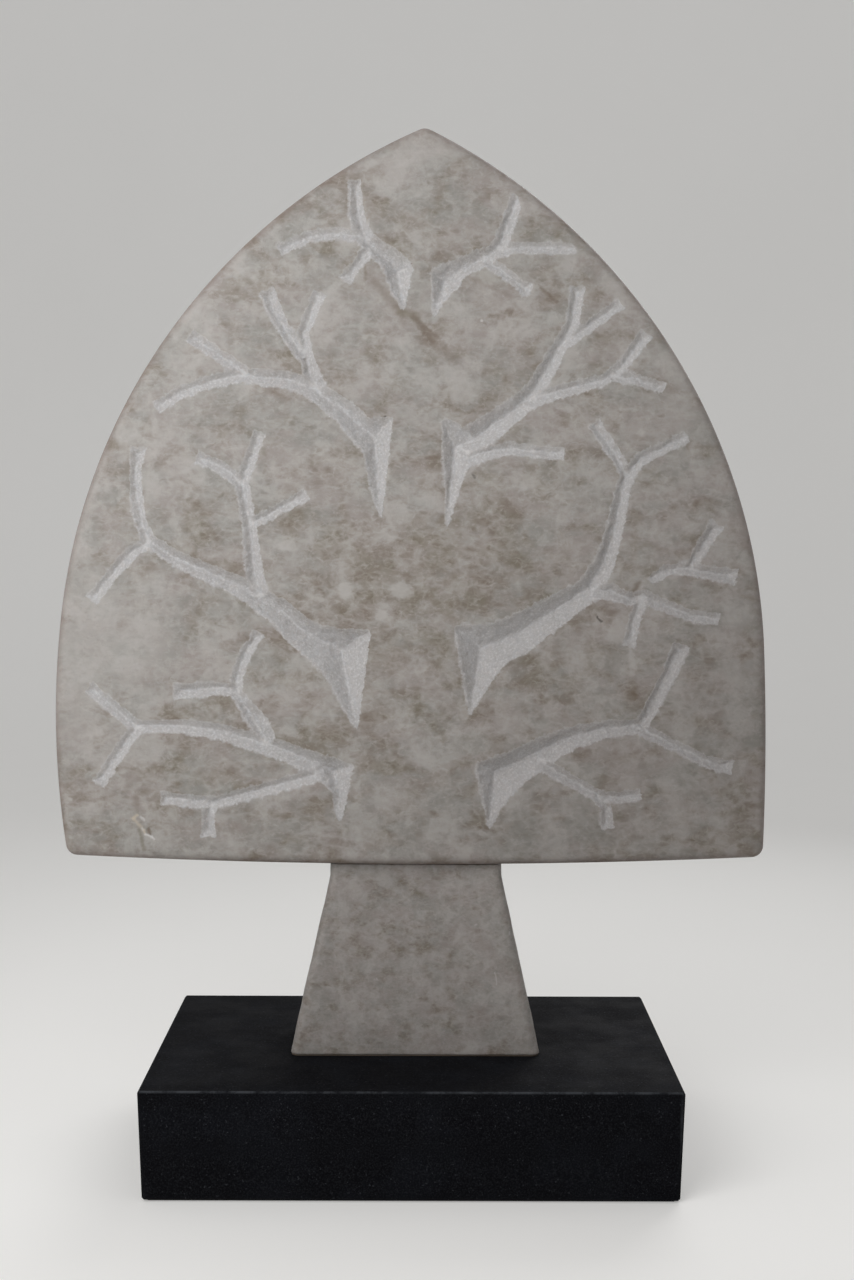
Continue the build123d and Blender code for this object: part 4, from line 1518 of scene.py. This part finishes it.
@dataclass(frozen=True)
class Studio:
    """Pale floor and sweep, lamps and camera."""

    lamps: tuple[Lamp, ...] = (
        Lamp("key", (-0.34, -0.64, 0.62), 0.6, 3.7),
        Lamp("back", (0.5, 1.15, 1.0), 1.0, 2.6, 90.0),
    )
    world: float = 0.36
    backdrop: float = 0.8
    glow: float = 0.3

    def sweep(self) -> bpy.types.Object:
        """Floor that curves up into a wall, in metres: straight, a quarter circle, straight, across a width."""
        radius, front, back, height, half = 0.8, -3.0, 1.6, 3.2, 3.2
        angles = np.linspace(0.0, math.pi / 2, 24)
        profile = np.concatenate([
            [[front, 0.0]],
            np.stack([back + radius * np.sin(angles), radius - radius * np.cos(angles)], axis=1),
            [[back + radius, height]]])
        across = np.linspace(-half, half, 3)
        grid = np.stack(np.broadcast_arrays(across[:, None], profile[None, :, 0], profile[None, :, 1]), axis=-1)
        rows, columns = grid.shape[:2]
        row, column = np.meshgrid(np.arange(rows - 1), np.arange(columns - 1), indexing="ij")
        first = (row * columns + column).ravel()
        quads = np.stack([first, first + columns, first + columns + 1, first + 1], axis=1)
        return make_piece("sweep", grid.reshape(-1, 3) / MM, quads)

    @staticmethod
    def seen(tree: bpy.types.NodeTree) -> Socket:
        """1 for camera, glossy and transmitted rays, else 0.

        Args:
            tree: The node tree that the nodes go into.

        Returns:
            The value socket.
        """
        path = tree.nodes.new("ShaderNodeLightPath")
        total = path.outputs["Is Camera Ray"]
        for name in ("Is Glossy Ray", "Is Transmission Ray"):
            most = tree.nodes.new("ShaderNodeMath")
            most.operation = "MAXIMUM"
            tree.links.new(total, most.inputs[0])
            tree.links.new(path.outputs[name], most.inputs[1])
            total = most.outputs[0]
        return total

    def build(self) -> None:
        """Makes the set."""
        sweep = self.sweep()
        shader = Shader("sweep_paper")
        shade = shader.blend(shader.noise(400.0), tone(222, 221, 219), tone(226, 225, 223))
        glow = shader.times(self.seen(shader.tree), self.glow)
        sweep.data.materials.append(shader.feed(
            Base_Color=shade, Roughness=0.9, Emission_Color=shade, Emission_Strength=glow))
        for lamp in self.lamps:
            lamp.build()
        world = bpy.data.worlds.new("studio")
        world.use_nodes = True
        tree = world.node_tree
        level = tree.nodes.new("ShaderNodeMapRange")
        level.inputs["To Min"].default_value, level.inputs["To Max"].default_value = self.world, self.backdrop
        tree.links.new(self.seen(tree), level.inputs["Value"])
        tree.links.new(level.outputs[0], tree.nodes["Background"].inputs["Strength"])
        tree.nodes["Background"].inputs["Color"].default_value = (1.0, 1.0, 1.0, 1.0)
        bpy.context.scene.world = world
        bpy.context.scene.view_settings.view_transform = "Standard"
        Camera().build()


# ---------------------------------------------------------------- assembly


def finish_of(node: str) -> Finish:
    """The finish named by the material slot that the record gives a node."""
    slots = {part["node"]: part["material_slot"] for part in frame["record"]["subparts"]}
    return Finish(slots[node])


def corners(box: tuple[Vector, Vector]) -> list[list[float]]:
    """A box's two corners as plain lists."""
    return [list(box[0]), list(box[1])]


def main() -> None:
    """Builds and dresses every piece, then the set."""
    logging.basicConfig(level=logging.INFO, format="%(name)s: %(message)s")
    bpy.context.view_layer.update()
    rack = FinishRack()
    for name, node in frame["nodes"].items():
        rack.dress(node, finish_of(name))
    for maker, node in ((Crown(), "crown"), (Trunk(), "trunk")):
        piece = maker.build()
        rack.dress(piece, finish_of(node))
        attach(piece, "root")
        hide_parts(node)
        LOG.info("%s: %d faces, in place of %s", piece.name, len(piece.data.polygons), node)
    Studio().build()
    bpy.context.view_layer.update()
    LOG.info("boxes written")


if __name__ == "__main__":
    main()
